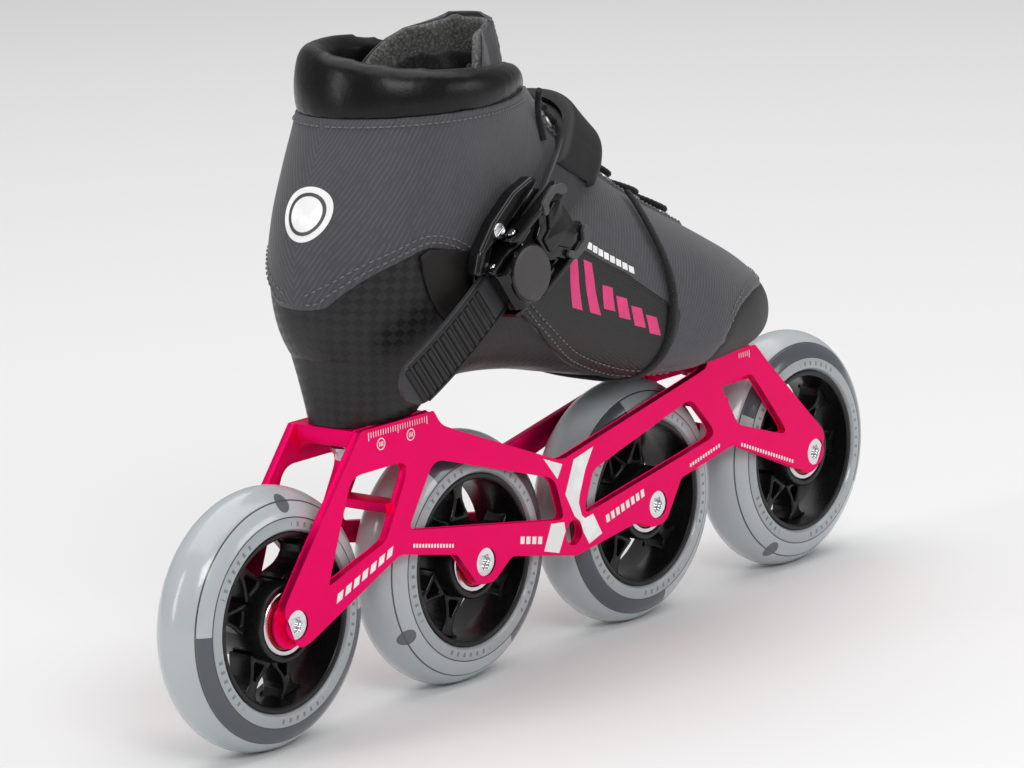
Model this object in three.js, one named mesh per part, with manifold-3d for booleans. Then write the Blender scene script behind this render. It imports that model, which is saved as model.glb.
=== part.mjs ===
// Inline speed skate for the right foot: a carbon-soled low boot on a one-piece frame with four wheels.
// Millimetres. +X points to the toe, +Y to the inner (medial) side of the foot, +Z up.
import * as THREE from 'three';
import { mergeVertices } from 'three/addons/utils/BufferGeometryUtils.js';
import Module from 'manifold-3d';

const wasm = await Module();
wasm.setup();

// ---------------------------------------------------------------- driving dimensions
const GAP = 0.3;                 // left between pieces that touch on the real skate

const WHEEL_DIAMETER = 90;
const WHEEL_SPACE = 7.33;        // between two neighbouring tyres
const TYRE_WIDTH = 24;
const TYRE_CROWN = 13.5;         // how far the crown rises above the widest line of the tyre
const HUB_RIM_RADIUS = 30.4;
const HUB_RIM_WALL = 3.0;
const HUB_RIM_WIDTH = 22.4;
const SPOKE_PAIRS = 3;
const SPOKE_PAIR_ANGLE = 43;     // degrees between the two spokes of a pair
const SPOKE_WIDTH = 10;          // along the axle
const BEARING_RADIUS = 11;
const BEARING_BORE = 4;
const BEARING_WIDTH = 7;
const BEARING_SEAT_WALL = 2.6;
const SPACER_LENGTH = 10;
const SPACER_WALL = 1.4;
const WHEEL_TURNS = [24, 110, 100, 14];   // degrees each wheel stands turned at rest

const PLATE_THICKNESS = 3.4;
const TYRE_TO_PLATE = 1.3;       // clearance between a tyre's side and the plate
const FRAME_HALF_WIDTH = TYRE_WIDTH / 2 + TYRE_TO_PLATE + PLATE_THICKNESS;
const BOSS_RADIUS = 8.4;
// Inner face of each axle boss, from the centre plane.
const BOSS_FACE = SPACER_LENGTH / 2 + BEARING_WIDTH + GAP;
const PLATFORM_THICKNESS = 6;
const WHEEL_TO_PLATFORM = 9.4;   // clearance over the wheels under a platform
const MOUNT_SPACING = 195;
const REAR_MOUNT_X = 48;         // rear boot bolt, ahead of the rear axle
const REAR_PLATFORM = [-11.8, 25.1];   // ends, from the rear boot bolt
const FRONT_PLATFORM = [-15, 13];      // ends, from the front boot bolt
const SPARE_AXLE_HOLE = 5;       // radius, for the three-wheel setting
const SLOT_RADIUS = 3.4;
const SLOT_TRAVEL = 5;           // each way from the middle of a slot

const AXLE_CLEARANCE = 0.1;      // radial, between the axle and what turns on it
const AXLE_HEAD_RADIUS = 5.2;
const AXLE_HEAD_DEPTH = 2.6;
const AXLE_RECESS = 0.3;         // the head lies this far below the frame's face

const BOOT_DROP = 10.4;          // heel platform above the ball platform
const BOOT_WALL = 3.2;
const SOLE_THICKNESS = 5.4;
const HEEL_BLOCK = { x0: 36.2, x1: 75, halfWidth: 14, rise: 20, flare: 3.5 };
const BALL_BLOCK = { x0: 229, x1: 254, halfWidth: 15, rise: 3, flare: 2 };
const UPPER_TOP = 205.5;         // where the upper ends under the collar
const COLLAR_THICKNESS = 8.6;
const TONGUE_THICKNESS = 4.6;
const TONGUE_RISE = 25;          // above the collar line
const INSOLE_THICKNESS = 3;
const PANEL_THICKNESS = 0.9;
const PANEL_LIFT = 0.7;          // from the upper to the back of a panel, at the middle of a facet
const LACE_DIAMETER = 2.2;
const LACE_ROWS = 7;
const LACE_LIFT = 1.4;           // of the lower strand over the throat
const BAND_WIDTH = 3.8;          // forefoot band
const BAND_THICKNESS = 2;
const BOLT_RADIUS = 2.9;
const BOLT_HEAD_RADIUS = 4.9;
const BOLT_HEAD_HEIGHT = 3;
const WASHER_RADIUS = 6.6;
const WASHER_THICKNESS = 1.2;
const INSERT_RADIUS = 6;

const STRAP_WIDTH = 17;
const STRAP_THICKNESS = 2.4;
const STRAP_RIB = 0.9;           // height of the ladder's ribs
const STRAP_RIB_PITCH = 3.4;
const STRAP_TAIL = 47;           // free end beyond the buckle
const PAD_THICKNESS = 3;
const EAR_THICKNESS = 1.6;
const BUCKLE_LENGTH = 44;
const BUCKLE_PLATE = 2;
const LEVER_LENGTH = 26;
const LEVER_THICKNESS = 2;
const THUMB_RADIUS = 9.3;
const HINGE_PIN_RADIUS = 1.6;
const PAWL_PIN_RADIUS = 1.2;
const PIN_CLEARANCE = 0.25;

// ---------------------------------------------------------------- derived places
const wheelRadius = WHEEL_DIAMETER / 2;
const axleZ = wheelRadius;
const pitch = WHEEL_DIAMETER + WHEEL_SPACE;
const axles = [0, 1, 2, 3].map((i) => i * pitch);
const rearMount = REAR_MOUNT_X;
const frontMount = REAR_MOUNT_X + MOUNT_SPACING;
const rearEnds = REAR_PLATFORM.map((d) => rearMount + d);
const frontEnds = FRONT_PLATFORM.map((d) => frontMount + d);

// Height of the highest tyre under a stretch of the frame.
function tyreTopUnder([x0, x1]) {
  const heights = axles.map((ax) => {
    const away = Math.max(x0 - ax, ax - x1, 0);
    return away < wheelRadius ? axleZ + Math.sqrt(wheelRadius ** 2 - away ** 2) : 0;
  });
  return Math.max(...heights);
}
const overWheels = WHEEL_TO_PLATFORM + PLATFORM_THICKNESS;
const frontTop = Math.max(tyreTopUnder(frontEnds) + overWheels,
  tyreTopUnder(rearEnds) + overWheels - BOOT_DROP);
const rearTop = frontTop + BOOT_DROP;
const BOOT_FRONT_DATUM = 92.7;   // ball height that the boot's sections are drawn at
const bootLift = frontTop - BOOT_FRONT_DATUM;

// ---------------------------------------------------------------- small tools
const V = (x, y, z) => new THREE.Vector3(x, y, z);
const rad = (deg) => deg * Math.PI / 180;
const lerp = (a, b, f) => a + (b - a) * f;
const steps = (n, from = 0, to = 1) => Array.from({ length: n + 1 }, (_, i) => lerp(from, to, i / n));

function toSolid(geometry) {
  const g = geometry.clone();
  g.deleteAttribute('normal');
  g.deleteAttribute('uv');
  const welded = mergeVertices(g, 1e-4);
  return new wasm.Manifold(new wasm.Mesh({
    numProp: 3,
    vertProperties: new Float32Array(welded.attributes.position.array),
    triVerts: new Uint32Array(welded.index.array),
  }));
}
function toGeometry(solid) {
  const mesh = solid.getMesh();
  const g = new THREE.BufferGeometry();
  g.setAttribute('position', new THREE.BufferAttribute(mesh.vertProperties, 3));
  g.setIndex(new THREE.BufferAttribute(mesh.triVerts, 1));
  return g;
}
const union = (...solids) => solids.reduce((a, b) => a.add(b));

// Closed body from triangles on a list of points; turned right side out by its volume.
function closedBody(points, triangles) {
  let volume = 0;
  for (const [a, b, c] of triangles) {
    volume += points[a].dot(V(0, 0, 0).crossVectors(points[b], points[c]));
  }
  const index = triangles.flatMap(([a, b, c]) => (volume < 0 ? [a, c, b] : [a, b, c]));
  const g = new THREE.BufferGeometry();
  g.setAttribute('position', new THREE.Float32BufferAttribute(points.flatMap((p) => [p.x, p.y, p.z]), 3));
  g.setIndex(index);
  return g;
}
// Skin over a row of closed loops with the same number of points, with a flat fan on both ends.
function loftLoops(loops, ring = false) {
  const n = loops[0].length;
  const points = loops.flat();
  const triangles = [];
  const rows = ring ? loops.length : loops.length - 1;
  for (let i = 0; i < rows; i++) {
    const next = (i + 1) % loops.length;
    for (let j = 0; j < n; j++) {
      const k = (j + 1) % n;
      triangles.push([i * n + j, next * n + j, next * n + k], [i * n + j, next * n + k, i * n + k]);
    }
  }
  if (!ring) {
    for (const end of [0, loops.length - 1]) {
      const centre = loops[end].reduce((sum, p) => sum.add(p), V(0, 0, 0)).divideScalar(n);
      points.push(centre);
      for (let j = 0; j < n; j++) {
        const [a, b] = [end * n + j, end * n + (j + 1) % n];
        triangles.push(end === 0 ? [points.length - 1, a, b] : [points.length - 1, b, a]);
      }
    }
  }
  return closedBody(points, triangles);
}
// Solid between two grids of points, an outer and an inner skin of the same patch.
function slab(outer, inner) {
  const rows = outer.length;
  const cols = outer[0].length;
  const points = [...outer.flat(), ...inner.flat()];
  const at = (skin, i, j) => skin * rows * cols + i * cols + j;
  const triangles = [];
  const quad = (a, b, c, d) => triangles.push([a, b, c], [a, c, d]);
  for (let i = 0; i < rows - 1; i++) {
    for (let j = 0; j < cols - 1; j++) {
      quad(at(0, i, j), at(0, i + 1, j), at(0, i + 1, j + 1), at(0, i, j + 1));
      quad(at(1, i, j), at(1, i, j + 1), at(1, i + 1, j + 1), at(1, i + 1, j));
    }
  }
  for (let j = 0; j < cols - 1; j++) {
    quad(at(0, 0, j), at(0, 0, j + 1), at(1, 0, j + 1), at(1, 0, j));
    quad(at(0, rows - 1, j + 1), at(0, rows - 1, j), at(1, rows - 1, j), at(1, rows - 1, j + 1));
  }
  for (let i = 0; i < rows - 1; i++) {
    quad(at(0, i + 1, 0), at(0, i, 0), at(1, i, 0), at(1, i + 1, 0));
    quad(at(0, i, cols - 1), at(0, i + 1, cols - 1), at(1, i + 1, cols - 1), at(1, i, cols - 1));
  }
  return closedBody(points, triangles);
}
// Outline with rounded corners: each point is [x, z, radius].
function roundedOutline(points, path = new THREE.Shape()) {
  const n = points.length;
  points.forEach(([x, z, radius = 0], i) => {
    const here = new THREE.Vector2(x, z);
    const before = new THREE.Vector2(...points[(i + n - 1) % n].slice(0, 2)).sub(here);
    const after = new THREE.Vector2(...points[(i + 1) % n].slice(0, 2)).sub(here);
    const turn = Math.abs(before.angleTo(after));
    const reach = Math.min(radius / Math.tan(turn / 2), before.length() * 0.48, after.length() * 0.48);
    const start = here.clone().addScaledVector(before.normalize(), reach);
    const end = here.clone().addScaledVector(after.normalize(), reach);
    if (i === 0) path.moveTo(start.x, start.y);
    else path.lineTo(start.x, start.y);
    if (reach > 0.05) path.quadraticCurveTo(x, z, end.x, end.y);
  });
  path.closePath();
  return path;
}
// Plate parallel to the XZ plane, from y0 to y1.
function plateXZ(shape, y0, y1, curveSegments = 2) {
  const g = new THREE.ExtrudeGeometry(shape, { depth: y1 - y0, bevelEnabled: false, curveSegments });
  return g.rotateX(Math.PI / 2).translate(0, y1, 0);
}
function cylinderY(radius, y0, y1, x = 0, z = 0, segments = 20) {
  return new THREE.CylinderGeometry(radius, radius, y1 - y0, segments).translate(x, (y0 + y1) / 2, z);
}
function cylinderZ(radius, z0, z1, x = 0, y = 0, segments = 20) {
  return new THREE.CylinderGeometry(radius, radius, z1 - z0, segments)
    .rotateX(Math.PI / 2).translate(x, y, (z0 + z1) / 2);
}
// Body turned about the Y axis from a closed [radius, y] profile.
function turnedY(profile, segments) {
  const ring = [...profile, profile[0]].map(([r, y]) => new THREE.Vector2(r, y));
  return closedFromSolid(toSolid(new THREE.LatheGeometry(ring, segments)));
}
// A lathe body may come inside out, depending on the way its profile runs.
function closedFromSolid(solid) {
  if (solid.volume() >= 0) return toGeometry(solid);
  const g = toGeometry(solid);
  g.index.array.reverse();
  return g;
}
function box(x0, x1, y0, y1, z0, z1) {
  return new THREE.BoxGeometry(x1 - x0, y1 - y0, z1 - z0)
    .translate((x0 + x1) / 2, (y0 + y1) / 2, (z0 + z1) / 2);
}

// ---------------------------------------------------------------- finishes
const finish = (color, roughness, metalness) => ({ color, roughness, metalness });
const finishes = {
  anodised: finish(0xd1156e, 0.42, 0.85),
  steel: finish(0xc9c9cc, 0.3, 1),
  bearingSteel: finish(0xb9bbc0, 0.28, 1),
  blackHub: finish(0x161618, 0.35, 0),
  tyre: finish(0xd9dcdd, 0.3, 0),
  carbon: finish(0x262627, 0.4, 0),
  upper: finish(0x5b5b5f, 0.8, 0),
  toeRubber: finish(0x3f3d3d, 0.6, 0),
  leather: finish(0x141415, 0.45, 0),
  lining: finish(0x3c3c3e, 0.95, 0),
  panel: finish(0x1b1b1c, 0.5, 0),
  cord: finish(0x101011, 0.85, 0),
  strap: finish(0x1c1c1d, 0.6, 0),
  plastic: finish(0x0d0d0e, 0.25, 0),
  greyMetal: finish(0x4c4c50, 0.4, 0.9),
};
const skate = new THREE.Group();
function add(name, geometry, finishName) {
  const mesh = new THREE.Mesh(geometry, new THREE.MeshStandardMaterial(finishes[finishName]));
  mesh.name = name;
  skate.add(mesh);
  return mesh;
}

// ---------------------------------------------------------------- frame
// Each side plate is drawn once in side view. A corner is [x, z, rounding], tied to the nearest axle
// or platform end.
function frameOutline() {
  const [a0, a1, a2, a3] = axles;
  const mid = (a1 + a2) / 2;
  const k1 = (a0 + a1) / 2;
  const k2 = (a2 + a3) / 2;
  return roundedOutline([
    [a0 - 6.3, axleZ + 6, 6], [rearEnds[0], rearTop, 1], [rearEnds[1], rearTop, 1],
    [rearEnds[1] + 3.6, rearTop - 5.6, 9], [rearEnds[1] + 12, rearTop - 9.2, 6],
    [mid - 5.6, axleZ + 26.9, 14], [frontEnds[0] - 8, frontTop - 4.8, 6], [frontEnds[0] - 2, frontTop - 3.4, 4],
    [frontEnds[0], frontTop, 1], [frontEnds[1], frontTop, 2], [frontEnds[1] + 7, frontTop - 7.5, 6],
    [a3 + 6.3, axleZ + 5.8, 6], [a3, axleZ - 7.6, 7], [a3 - 12, axleZ - 3.6, 4],
    [k2 - 2, axleZ + 13.4, 8], [a2 + 14, axleZ + 7.4, 5], [a2 + 4, axleZ - 7.2, 7], [a2 - 4, axleZ - 7.2, 7],
    [a2 - 12.8, axleZ - 3.6, 5], [mid + 1, axleZ - 8.2, 4], [a1 + 14, axleZ - 0.5, 5],
    [a1 + 4, axleZ - 7.2, 7], [a1 - 4, axleZ - 7.2, 7], [a1 - 15, axleZ + 6.4, 5],
    [k1 + 4, axleZ + 12.9, 8], [a0 + 6.2, axleZ - 6.8, 6], [a0, axleZ - 8, 6],
  ]);
}
function frameWindows() {
  const [a0, a1, a2, a3] = axles;
  const mid = (a1 + a2) / 2;
  const k1 = (a0 + a1) / 2;
  const k2 = (a2 + a3) / 2;
  return [
    [[a0 + 15.2, axleZ + 8.8, 1.5], [rearEnds[0] - 6.5, rearTop - 13.6, 8],
      [rearEnds[1] - 11.8, rearTop - 13.6, 5], [k1 - 2.5, axleZ + 18.2, 7]],
    [[k1 + 8, axleZ + 19.6, 3], [rearEnds[1] - 1, rearTop - 15.7, 8],
      [mid - 9.3, axleZ + 22.2, 8], [mid - 4.3, axleZ + 5.2, 3]],
    [[mid + 4.8, axleZ + 4.6, 3], [mid + 11.8, axleZ + 20.8, 6],
      [frontEnds[0] - 11.6, frontTop - 12, 7], [k2 - 11, axleZ + 18.4, 4]],
    [[k2 + 0.5, axleZ + 19.6, 8], [frontEnds[0] + 5, frontTop - 9.8, 3],
      [frontEnds[1] - 2.2, frontTop - 9.8, 5], [a3 - 14.5, axleZ + 8.6, 3]],
  ];
}
function platform([x0, x1], top, slotAlongX, mountX) {
  const inner = FRAME_HALF_WIDTH - PLATE_THICKNESS;
  const fillet = 5;
  const section = new THREE.Shape();
  section.moveTo(-inner - 1, 0);
  section.lineTo(inner + 1, 0);
  section.lineTo(inner + 1, -PLATFORM_THICKNESS - fillet);
  section.lineTo(inner, -PLATFORM_THICKNESS - fillet);
  section.quadraticCurveTo(inner, -PLATFORM_THICKNESS, inner - fillet, -PLATFORM_THICKNESS);
  section.lineTo(-inner + fillet, -PLATFORM_THICKNESS);
  section.quadraticCurveTo(-inner, -PLATFORM_THICKNESS, -inner, -PLATFORM_THICKNESS - fillet);
  section.lineTo(-inner - 1, -PLATFORM_THICKNESS - fillet);
  section.closePath();
  const beam = new THREE.ExtrudeGeometry(section, { depth: x1 - x0, bevelEnabled: false, curveSegments: 3 })
    .rotateX(Math.PI / 2).rotateZ(Math.PI / 2).translate(x0, 0, top);
  const travel = slotAlongX ? [SLOT_TRAVEL, 0] : [0, SLOT_TRAVEL];
  const ends = [-1, 1].map((s) => cylinderZ(SLOT_RADIUS, top - 20, top + 5,
    mountX + s * travel[0], s * travel[1], 12));
  const middle = slotAlongX
    ? box(mountX - SLOT_TRAVEL, mountX + SLOT_TRAVEL, -SLOT_RADIUS, SLOT_RADIUS, top - 20, top + 5)
    : box(mountX - SLOT_RADIUS, mountX + SLOT_RADIUS, -SLOT_TRAVEL, SLOT_TRAVEL, top - 20, top + 5);
  return toSolid(beam).subtract(union(toSolid(middle), ...ends.map(toSolid)));
}
function makeFrame() {
  const shape = frameOutline();
  // The outline runs clockwise, so its holes run the other way.
  shape.holes = frameWindows().map((w) => roundedOutline([...w].reverse(), new THREE.Path()));
  const spare = new THREE.Path();
  spare.absarc((axles[1] + axles[2]) / 2, axleZ, SPARE_AXLE_HOLE, 0, 2 * Math.PI, false);
  shape.holes.push(spare);
  const inner = FRAME_HALF_WIDTH - PLATE_THICKNESS;
  const outer = FRAME_HALF_WIDTH;
  const plates = [plateXZ(shape, -outer, -inner), plateXZ(shape, inner, outer)].map(toSolid);
  const silhouette = toSolid(plateXZ(frameOutline(), -outer - 1, outer + 1));
  const tops = [platform(rearEnds, rearTop, false, rearMount), platform(frontEnds, frontTop, true, frontMount)]
    .map((p) => p.intersect(silhouette));
  const bosses = axles.flatMap((ax) => [-1, 1].map((side) => {
    const [y0, y1] = side < 0 ? [-outer, -BOSS_FACE] : [BOSS_FACE, outer];
    return toSolid(cylinderY(BOSS_RADIUS, y0, y1, ax, axleZ, 16));
  }));
  const bridges = [0, 2].map((i) => {
    const x = (axles[i] + axles[i + 1]) / 2 + (i === 0 ? 5 : -5);
    return toSolid(box(x - 4, x + 4, -inner - 1, inner + 1, axleZ + 27, axleZ + 30.5));
  });
  let frame = union(...plates, ...tops, ...bosses, ...bridges);
  for (const ax of axles) {
    frame = frame.subtract(toSolid(cylinderY(BEARING_BORE + GAP, -outer - 1, outer + 1, ax, axleZ, 14)));
    frame = frame.subtract(toSolid(cylinderY(AXLE_HEAD_RADIUS + GAP, -outer - 1,
      -outer + AXLE_RECESS + AXLE_HEAD_DEPTH + GAP, ax, axleZ, 16)));
  }
  return frame;
}
add('frame', toGeometry(makeFrame()), 'anodised');

// ---------------------------------------------------------------- wheels
function tyreProfile() {
  const half = TYRE_WIDTH / 2;
  const innerR = HUB_RIM_RADIUS + GAP;
  const crown = steps(8, -90, 90).map((deg) => [
    wheelRadius - TYRE_CROWN + TYRE_CROWN * Math.cos(rad(deg)), half * Math.sin(rad(deg))]);
  return [[innerR, -HUB_RIM_WIDTH / 2], ...crown, [innerR, HUB_RIM_WIDTH / 2]];
}
function spoke(angle) {
  const foot = HUB_RIM_RADIUS - HUB_RIM_WALL + 0.6;
  const root = BEARING_RADIUS + BEARING_SEAT_WALL - 0.6;
  const neck = lerp(root, foot, 0.72);
  const shape = new THREE.Shape();
  shape.moveTo(root, -5.2);
  shape.quadraticCurveTo(lerp(root, foot, 0.45), -1.9, neck, -1.7);
  shape.lineTo(foot, -3.2);
  shape.lineTo(foot, 3.2);
  shape.lineTo(neck, 1.7);
  shape.quadraticCurveTo(lerp(root, foot, 0.45), 1.9, root, 5.2);
  shape.closePath();
  const hole = new THREE.Path();
  hole.moveTo(root + 1.6, -2.5);
  hole.lineTo(root + 1.6, 2.5);
  hole.lineTo(lerp(root, foot, 0.46), 0.3);
  hole.lineTo(lerp(root, foot, 0.46), -0.3);
  hole.closePath();
  shape.holes.push(hole);
  return toSolid(plateXZ(shape, -SPOKE_WIDTH / 2, SPOKE_WIDTH / 2, 2).rotateY(-rad(angle)));
}
function makeHub() {
  const half = HUB_RIM_WIDTH / 2;
  const inner = HUB_RIM_RADIUS - HUB_RIM_WALL;
  const rim = turnedY([[HUB_RIM_RADIUS, -half], [HUB_RIM_RADIUS, half], [inner + 1, half],
    [inner, 0], [inner + 1, -half]], 24);
  const seat = BEARING_RADIUS + GAP;
  const outer = BEARING_RADIUS + BEARING_SEAT_WALL;
  const depth = SPACER_LENGTH / 2 + BEARING_WIDTH;
  const lip = BEARING_BORE + SPACER_WALL + 1.2;
  const shoulder = SPACER_LENGTH / 2 - GAP;
  const sleeve = turnedY([[outer, -depth], [outer, depth], [seat, depth], [seat, shoulder], [lip, shoulder],
    [lip, -shoulder], [seat, -shoulder], [seat, -depth]], 16);
  const spokes = [];
  for (let pair = 0; pair < SPOKE_PAIRS; pair++) {
    for (const side of [-0.5, 0.5]) spokes.push(spoke(pair * 360 / SPOKE_PAIRS + side * SPOKE_PAIR_ANGLE));
  }
  return toGeometry(union(toSolid(rim), toSolid(sleeve), ...spokes));
}
const hubGeometry = makeHub();
const tyreGeometry = turnedY(tyreProfile(), 26);
function bearing(y0, y1) {
  const r0 = BEARING_BORE + AXLE_CLEARANCE;
  return turnedY([[r0, y0], [BEARING_RADIUS, y0], [BEARING_RADIUS, y1], [r0, y1]], 16);
}
const bearingGap = SPACER_LENGTH / 2 + GAP / 2;
const bearingOuter = bearingGap + BEARING_WIDTH - GAP;
axles.forEach((ax, i) => {
  const n = i + 1;
  const put = (geometry) => geometry.clone().rotateY(-rad(WHEEL_TURNS[i])).translate(ax, 0, axleZ);
  add(`wheel_${n}_tyre`, put(tyreGeometry), 'tyre');
  add(`wheel_${n}_hub`, put(hubGeometry), 'blackHub');
  add(`wheel_${n}_bearing_outer_side`, put(bearing(-bearingOuter, -bearingGap)), 'bearingSteel');
  add(`wheel_${n}_bearing_inner_side`, put(bearing(bearingGap, bearingOuter)), 'bearingSteel');
  const s0 = BEARING_BORE + AXLE_CLEARANCE;
  const s1 = SPACER_LENGTH / 2 - GAP / 2;
  add(`wheel_${n}_spacer`, put(turnedY([[s0, -s1], [s0 + SPACER_WALL, -s1], [s0 + SPACER_WALL, s1], [s0, s1]],
    12)), 'steel');
  const head0 = -FRAME_HALF_WIDTH + AXLE_RECESS;
  const shaftEnd = FRAME_HALF_WIDTH - 1;
  const bolt = toSolid(cylinderY(BEARING_BORE - 0.05, head0 + 1, shaftEnd, 0, 0, 14))
    .add(toSolid(cylinderY(AXLE_HEAD_RADIUS, head0, head0 + AXLE_HEAD_DEPTH, 0, 0, 16)))
    .subtract(toSolid(cylinderY(2.3, head0 - 1, head0 + 1.8, 0, 0, 6)));
  add(`axle_bolt_${n}`, toGeometry(bolt).translate(ax, 0, axleZ), 'steel');
});

// ---------------------------------------------------------------- the boot's form
// Sections of the boot from the tip of the toe, round the heel bend, to the collar. Each one runs from a
// point on the sole or heel to a point on the instep.
// [sole x, sole z, instep x, instep z, half width, sideways shift, height of the widest line,
//  squareness below it, squareness above it]
const SECTIONS = [
  [263.0, 103.4, 265.0, 109.0, 7.0, 6.0, 0.50, 2.0, 2.0],
  [260.0, 99.2, 262.0, 116.5, 19.0, 5.5, 0.48, 2.2, 2.0],
  [254.0, 95.8, 255.0, 125.0, 28.5, 5.0, 0.45, 2.4, 2.0],
  [242.5, 93.6, 242.5, 133.0, 36.0, 4.0, 0.42, 2.6, 2.0],
  [224.0, 93.3, 224.0, 142.0, 41.5, 2.0, 0.40, 2.7, 2.0],
  [200.0, 93.4, 204.0, 152.0, 43.5, 0.0, 0.38, 2.7, 2.0],
  [175.0, 95.6, 187.0, 161.5, 43.0, 0.0, 0.38, 2.5, 2.0],
  [150.0, 101.2, 173.0, 170.5, 40.5, 0.0, 0.40, 2.4, 2.0],
  [122.0, 107.7, 162.5, 179.0, 38.0, 0.0, 0.42, 2.3, 2.0],
  [95.0, 110.7, 154.0, 187.5, 36.0, 0.0, 0.45, 2.2, 2.0],
  [68.0, 110.2, 147.5, 195.0, 35.0, 0.0, 0.47, 2.2, 2.0],
  [45.0, 114.0, 143.0, 201.0, 34.5, 0.0, 0.48, 2.2, 2.0],
  [31.0, 128.0, 139.5, 206.0, 34.5, 0.0, 0.48, 2.2, 2.0],
  [25.5, 147.0, 136.5, 209.5, 34.0, 0.0, 0.48, 2.1, 2.0],
  [28.0, 167.0, 134.0, 212.0, 33.5, 0.0, 0.48, 2.0, 2.0],
  [35.5, 186.0, 131.5, 214.0, 33.0, 0.0, 0.49, 2.0, 2.0],
  [43.5, 203.0, 129.5, 215.5, 33.0, 0.0, 0.50, 2.0, 2.0],
  [49.0, 221.0, 127.5, 217.0, 33.0, 0.0, 0.50, 2.0, 2.0],
];
const LAST = SECTIONS.length - 1;
// Smooth value between the sections: a cubic through the neighbours.
function sectionAt(t) {
  const i = Math.min(Math.max(Math.floor(t), 0), LAST - 1);
  const f = t - i;
  return SECTIONS[i].map((_, k) => {
    const p = [i - 1, i, i + 1, i + 2].map((j) => SECTIONS[Math.min(Math.max(j, 0), LAST)][k]);
    const m0 = (p[2] - p[0]) / 2;
    const m1 = (p[3] - p[1]) / 2;
    return (2 * f ** 3 - 3 * f ** 2 + 1) * p[1] + (f ** 3 - 2 * f ** 2 + f) * m0
      + (3 * f ** 2 - 2 * f ** 3) * p[2] + (f ** 3 - f ** 2) * m1;
  });
}
// Point on the boot. angle: 0 on the instep, 90 on the inner side, 180 on the sole, 270 on the outer side.
function bootPoint(t, angle) {
  const [xs, zs, xi, zi, halfWidth, shift, widest, below, above] = sectionAt(t);
  const c = Math.cos(rad(angle));
  const s = Math.sin(rad(angle));
  const power = 2 / (c > 0 ? above : below);
  const up = c > 0 ? widest + (1 - widest) * c ** power : widest - widest * (-c) ** power;
  const side = shift + halfWidth * Math.sign(s) * Math.abs(s) ** power;
  return V(lerp(xs, xi, up), side, lerp(zs, zi, up) + bootLift);
}
function bootNormal(t, angle) {
  const dt = 0.02;
  const da = 1;
  const t0 = Math.max(t - dt, 0);
  const t1 = Math.min(t + dt, LAST);
  const along = bootPoint(t1, angle).sub(bootPoint(t0, angle));
  const around = bootPoint(t, angle + da).sub(bootPoint(t, angle - da));
  return around.cross(along).normalize();
}
function onBoot(t, angle, offset) {
  return bootPoint(t, angle).addScaledVector(bootNormal(t, angle), offset);
}
// Patch over the boot: rows along t, columns across the angle, between two offsets from its surface.
function bootPatch(ts, anglesAt, low, high, cols = 6) {
  const grid = (offset) => ts.map((t) => {
    const [a0, a1] = anglesAt(t);
    return steps(cols, a0, a1).map((a) => onBoot(t, a, typeof offset === 'function' ? offset(t, a) : offset));
  });
  return slab(grid(high), grid(low));
}
const between = (table, t) => {
  const i = Math.max(0, table.findIndex(([x], k) => k === table.length - 2 || t <= table[k + 1][0]));
  const [[x0, y0], [x1, y1]] = [table[i], table[i + 1]];
  return lerp(y0, y1, (t - x0) / (x1 - x0));
};
const wallAt = (angle) => lerp(BOOT_WALL, SOLE_THICKNESS, Math.max(0, -Math.cos(rad(angle))) ** 2);

// ---------------------------------------------------------------- boot: shell, upper, toe cap
const AROUND = 22;
const ringAngles = steps(AROUND, 0, 360).slice(0, AROUND);
function bootLoft(ts, offsetAt) {
  return toSolid(loftLoops(ts.map((t) => ringAngles.map((a) => onBoot(t, a, offsetAt(a))))));
}
// Rounded block standing on a platform and rising into the sole.
function standBlock({ x0, x1, halfWidth, rise, flare }, floor) {
  const loops = steps(3).map((f) => {
    const grow = flare * f ** 0.7;
    const [a, b] = [(x1 - x0) / 2 + grow, halfWidth + grow];
    return steps(20, 0, 360).slice(0, 20).map((deg) => {
      const [c, s] = [Math.cos(rad(deg)), Math.sin(rad(deg))];
      return V((x0 + x1) / 2 + a * Math.sign(c) * Math.abs(c) ** 0.7, b * Math.sign(s) * Math.abs(s) ** 0.7,
        floor + rise * f);
    });
  });
  return toSolid(loftLoops(loops));
}
const heelFloor = rearTop + GAP;
const ballFloor = frontTop + GAP;
const wholeTs = [0, 0.6, 1.3, 2.1, 3, 4, 5, 6, 7, 8, 9, 10, 11, 12, 13, 14, 15, 16, 17];
const bootBody = union(bootLoft(wholeTs, () => 0), standBlock(HEEL_BLOCK, heelFloor),
  standBlock(BALL_BLOCK, ballFloor));
const cavity = bootLoft([1.15, ...wholeTs.filter((t) => t > 1.5)], (a) => -wallAt(a));
const overCollar = toSolid(box(0, 200, -80, 80, UPPER_TOP + bootLift, UPPER_TOP + bootLift + 60));
const throatHalf = (t) => between([[4, 9], [6, 14], [9, 19], [12, 23], [LAST, 27]], t);
const throat = toSolid(bootPatch(steps(12, 4.4, LAST), (t) => [-throatHalf(t), throatHalf(t)], -14, 10, 4));
const bootWall = bootBody.subtract(cavity).subtract(overCollar).subtract(throat);

const prism = (points) => toSolid(plateXZ(new THREE.Shape(points.map(([x, z]) =>
  new THREE.Vector2(x, z + bootLift))), -80, 80));
// Top edge of the carbon shell in side view, from the heel to the ball of the foot.
const SHELL_EDGE = [[10, 144.5], [26, 145.5], [31, 151], [38, 156.5], [50, 161.5], [58, 163.5], [68, 160.5],
  [76, 155], [97, 138], [111, 126], [131, 112], [155, 101.8], [173, 97.6], [201, 97]];
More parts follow.
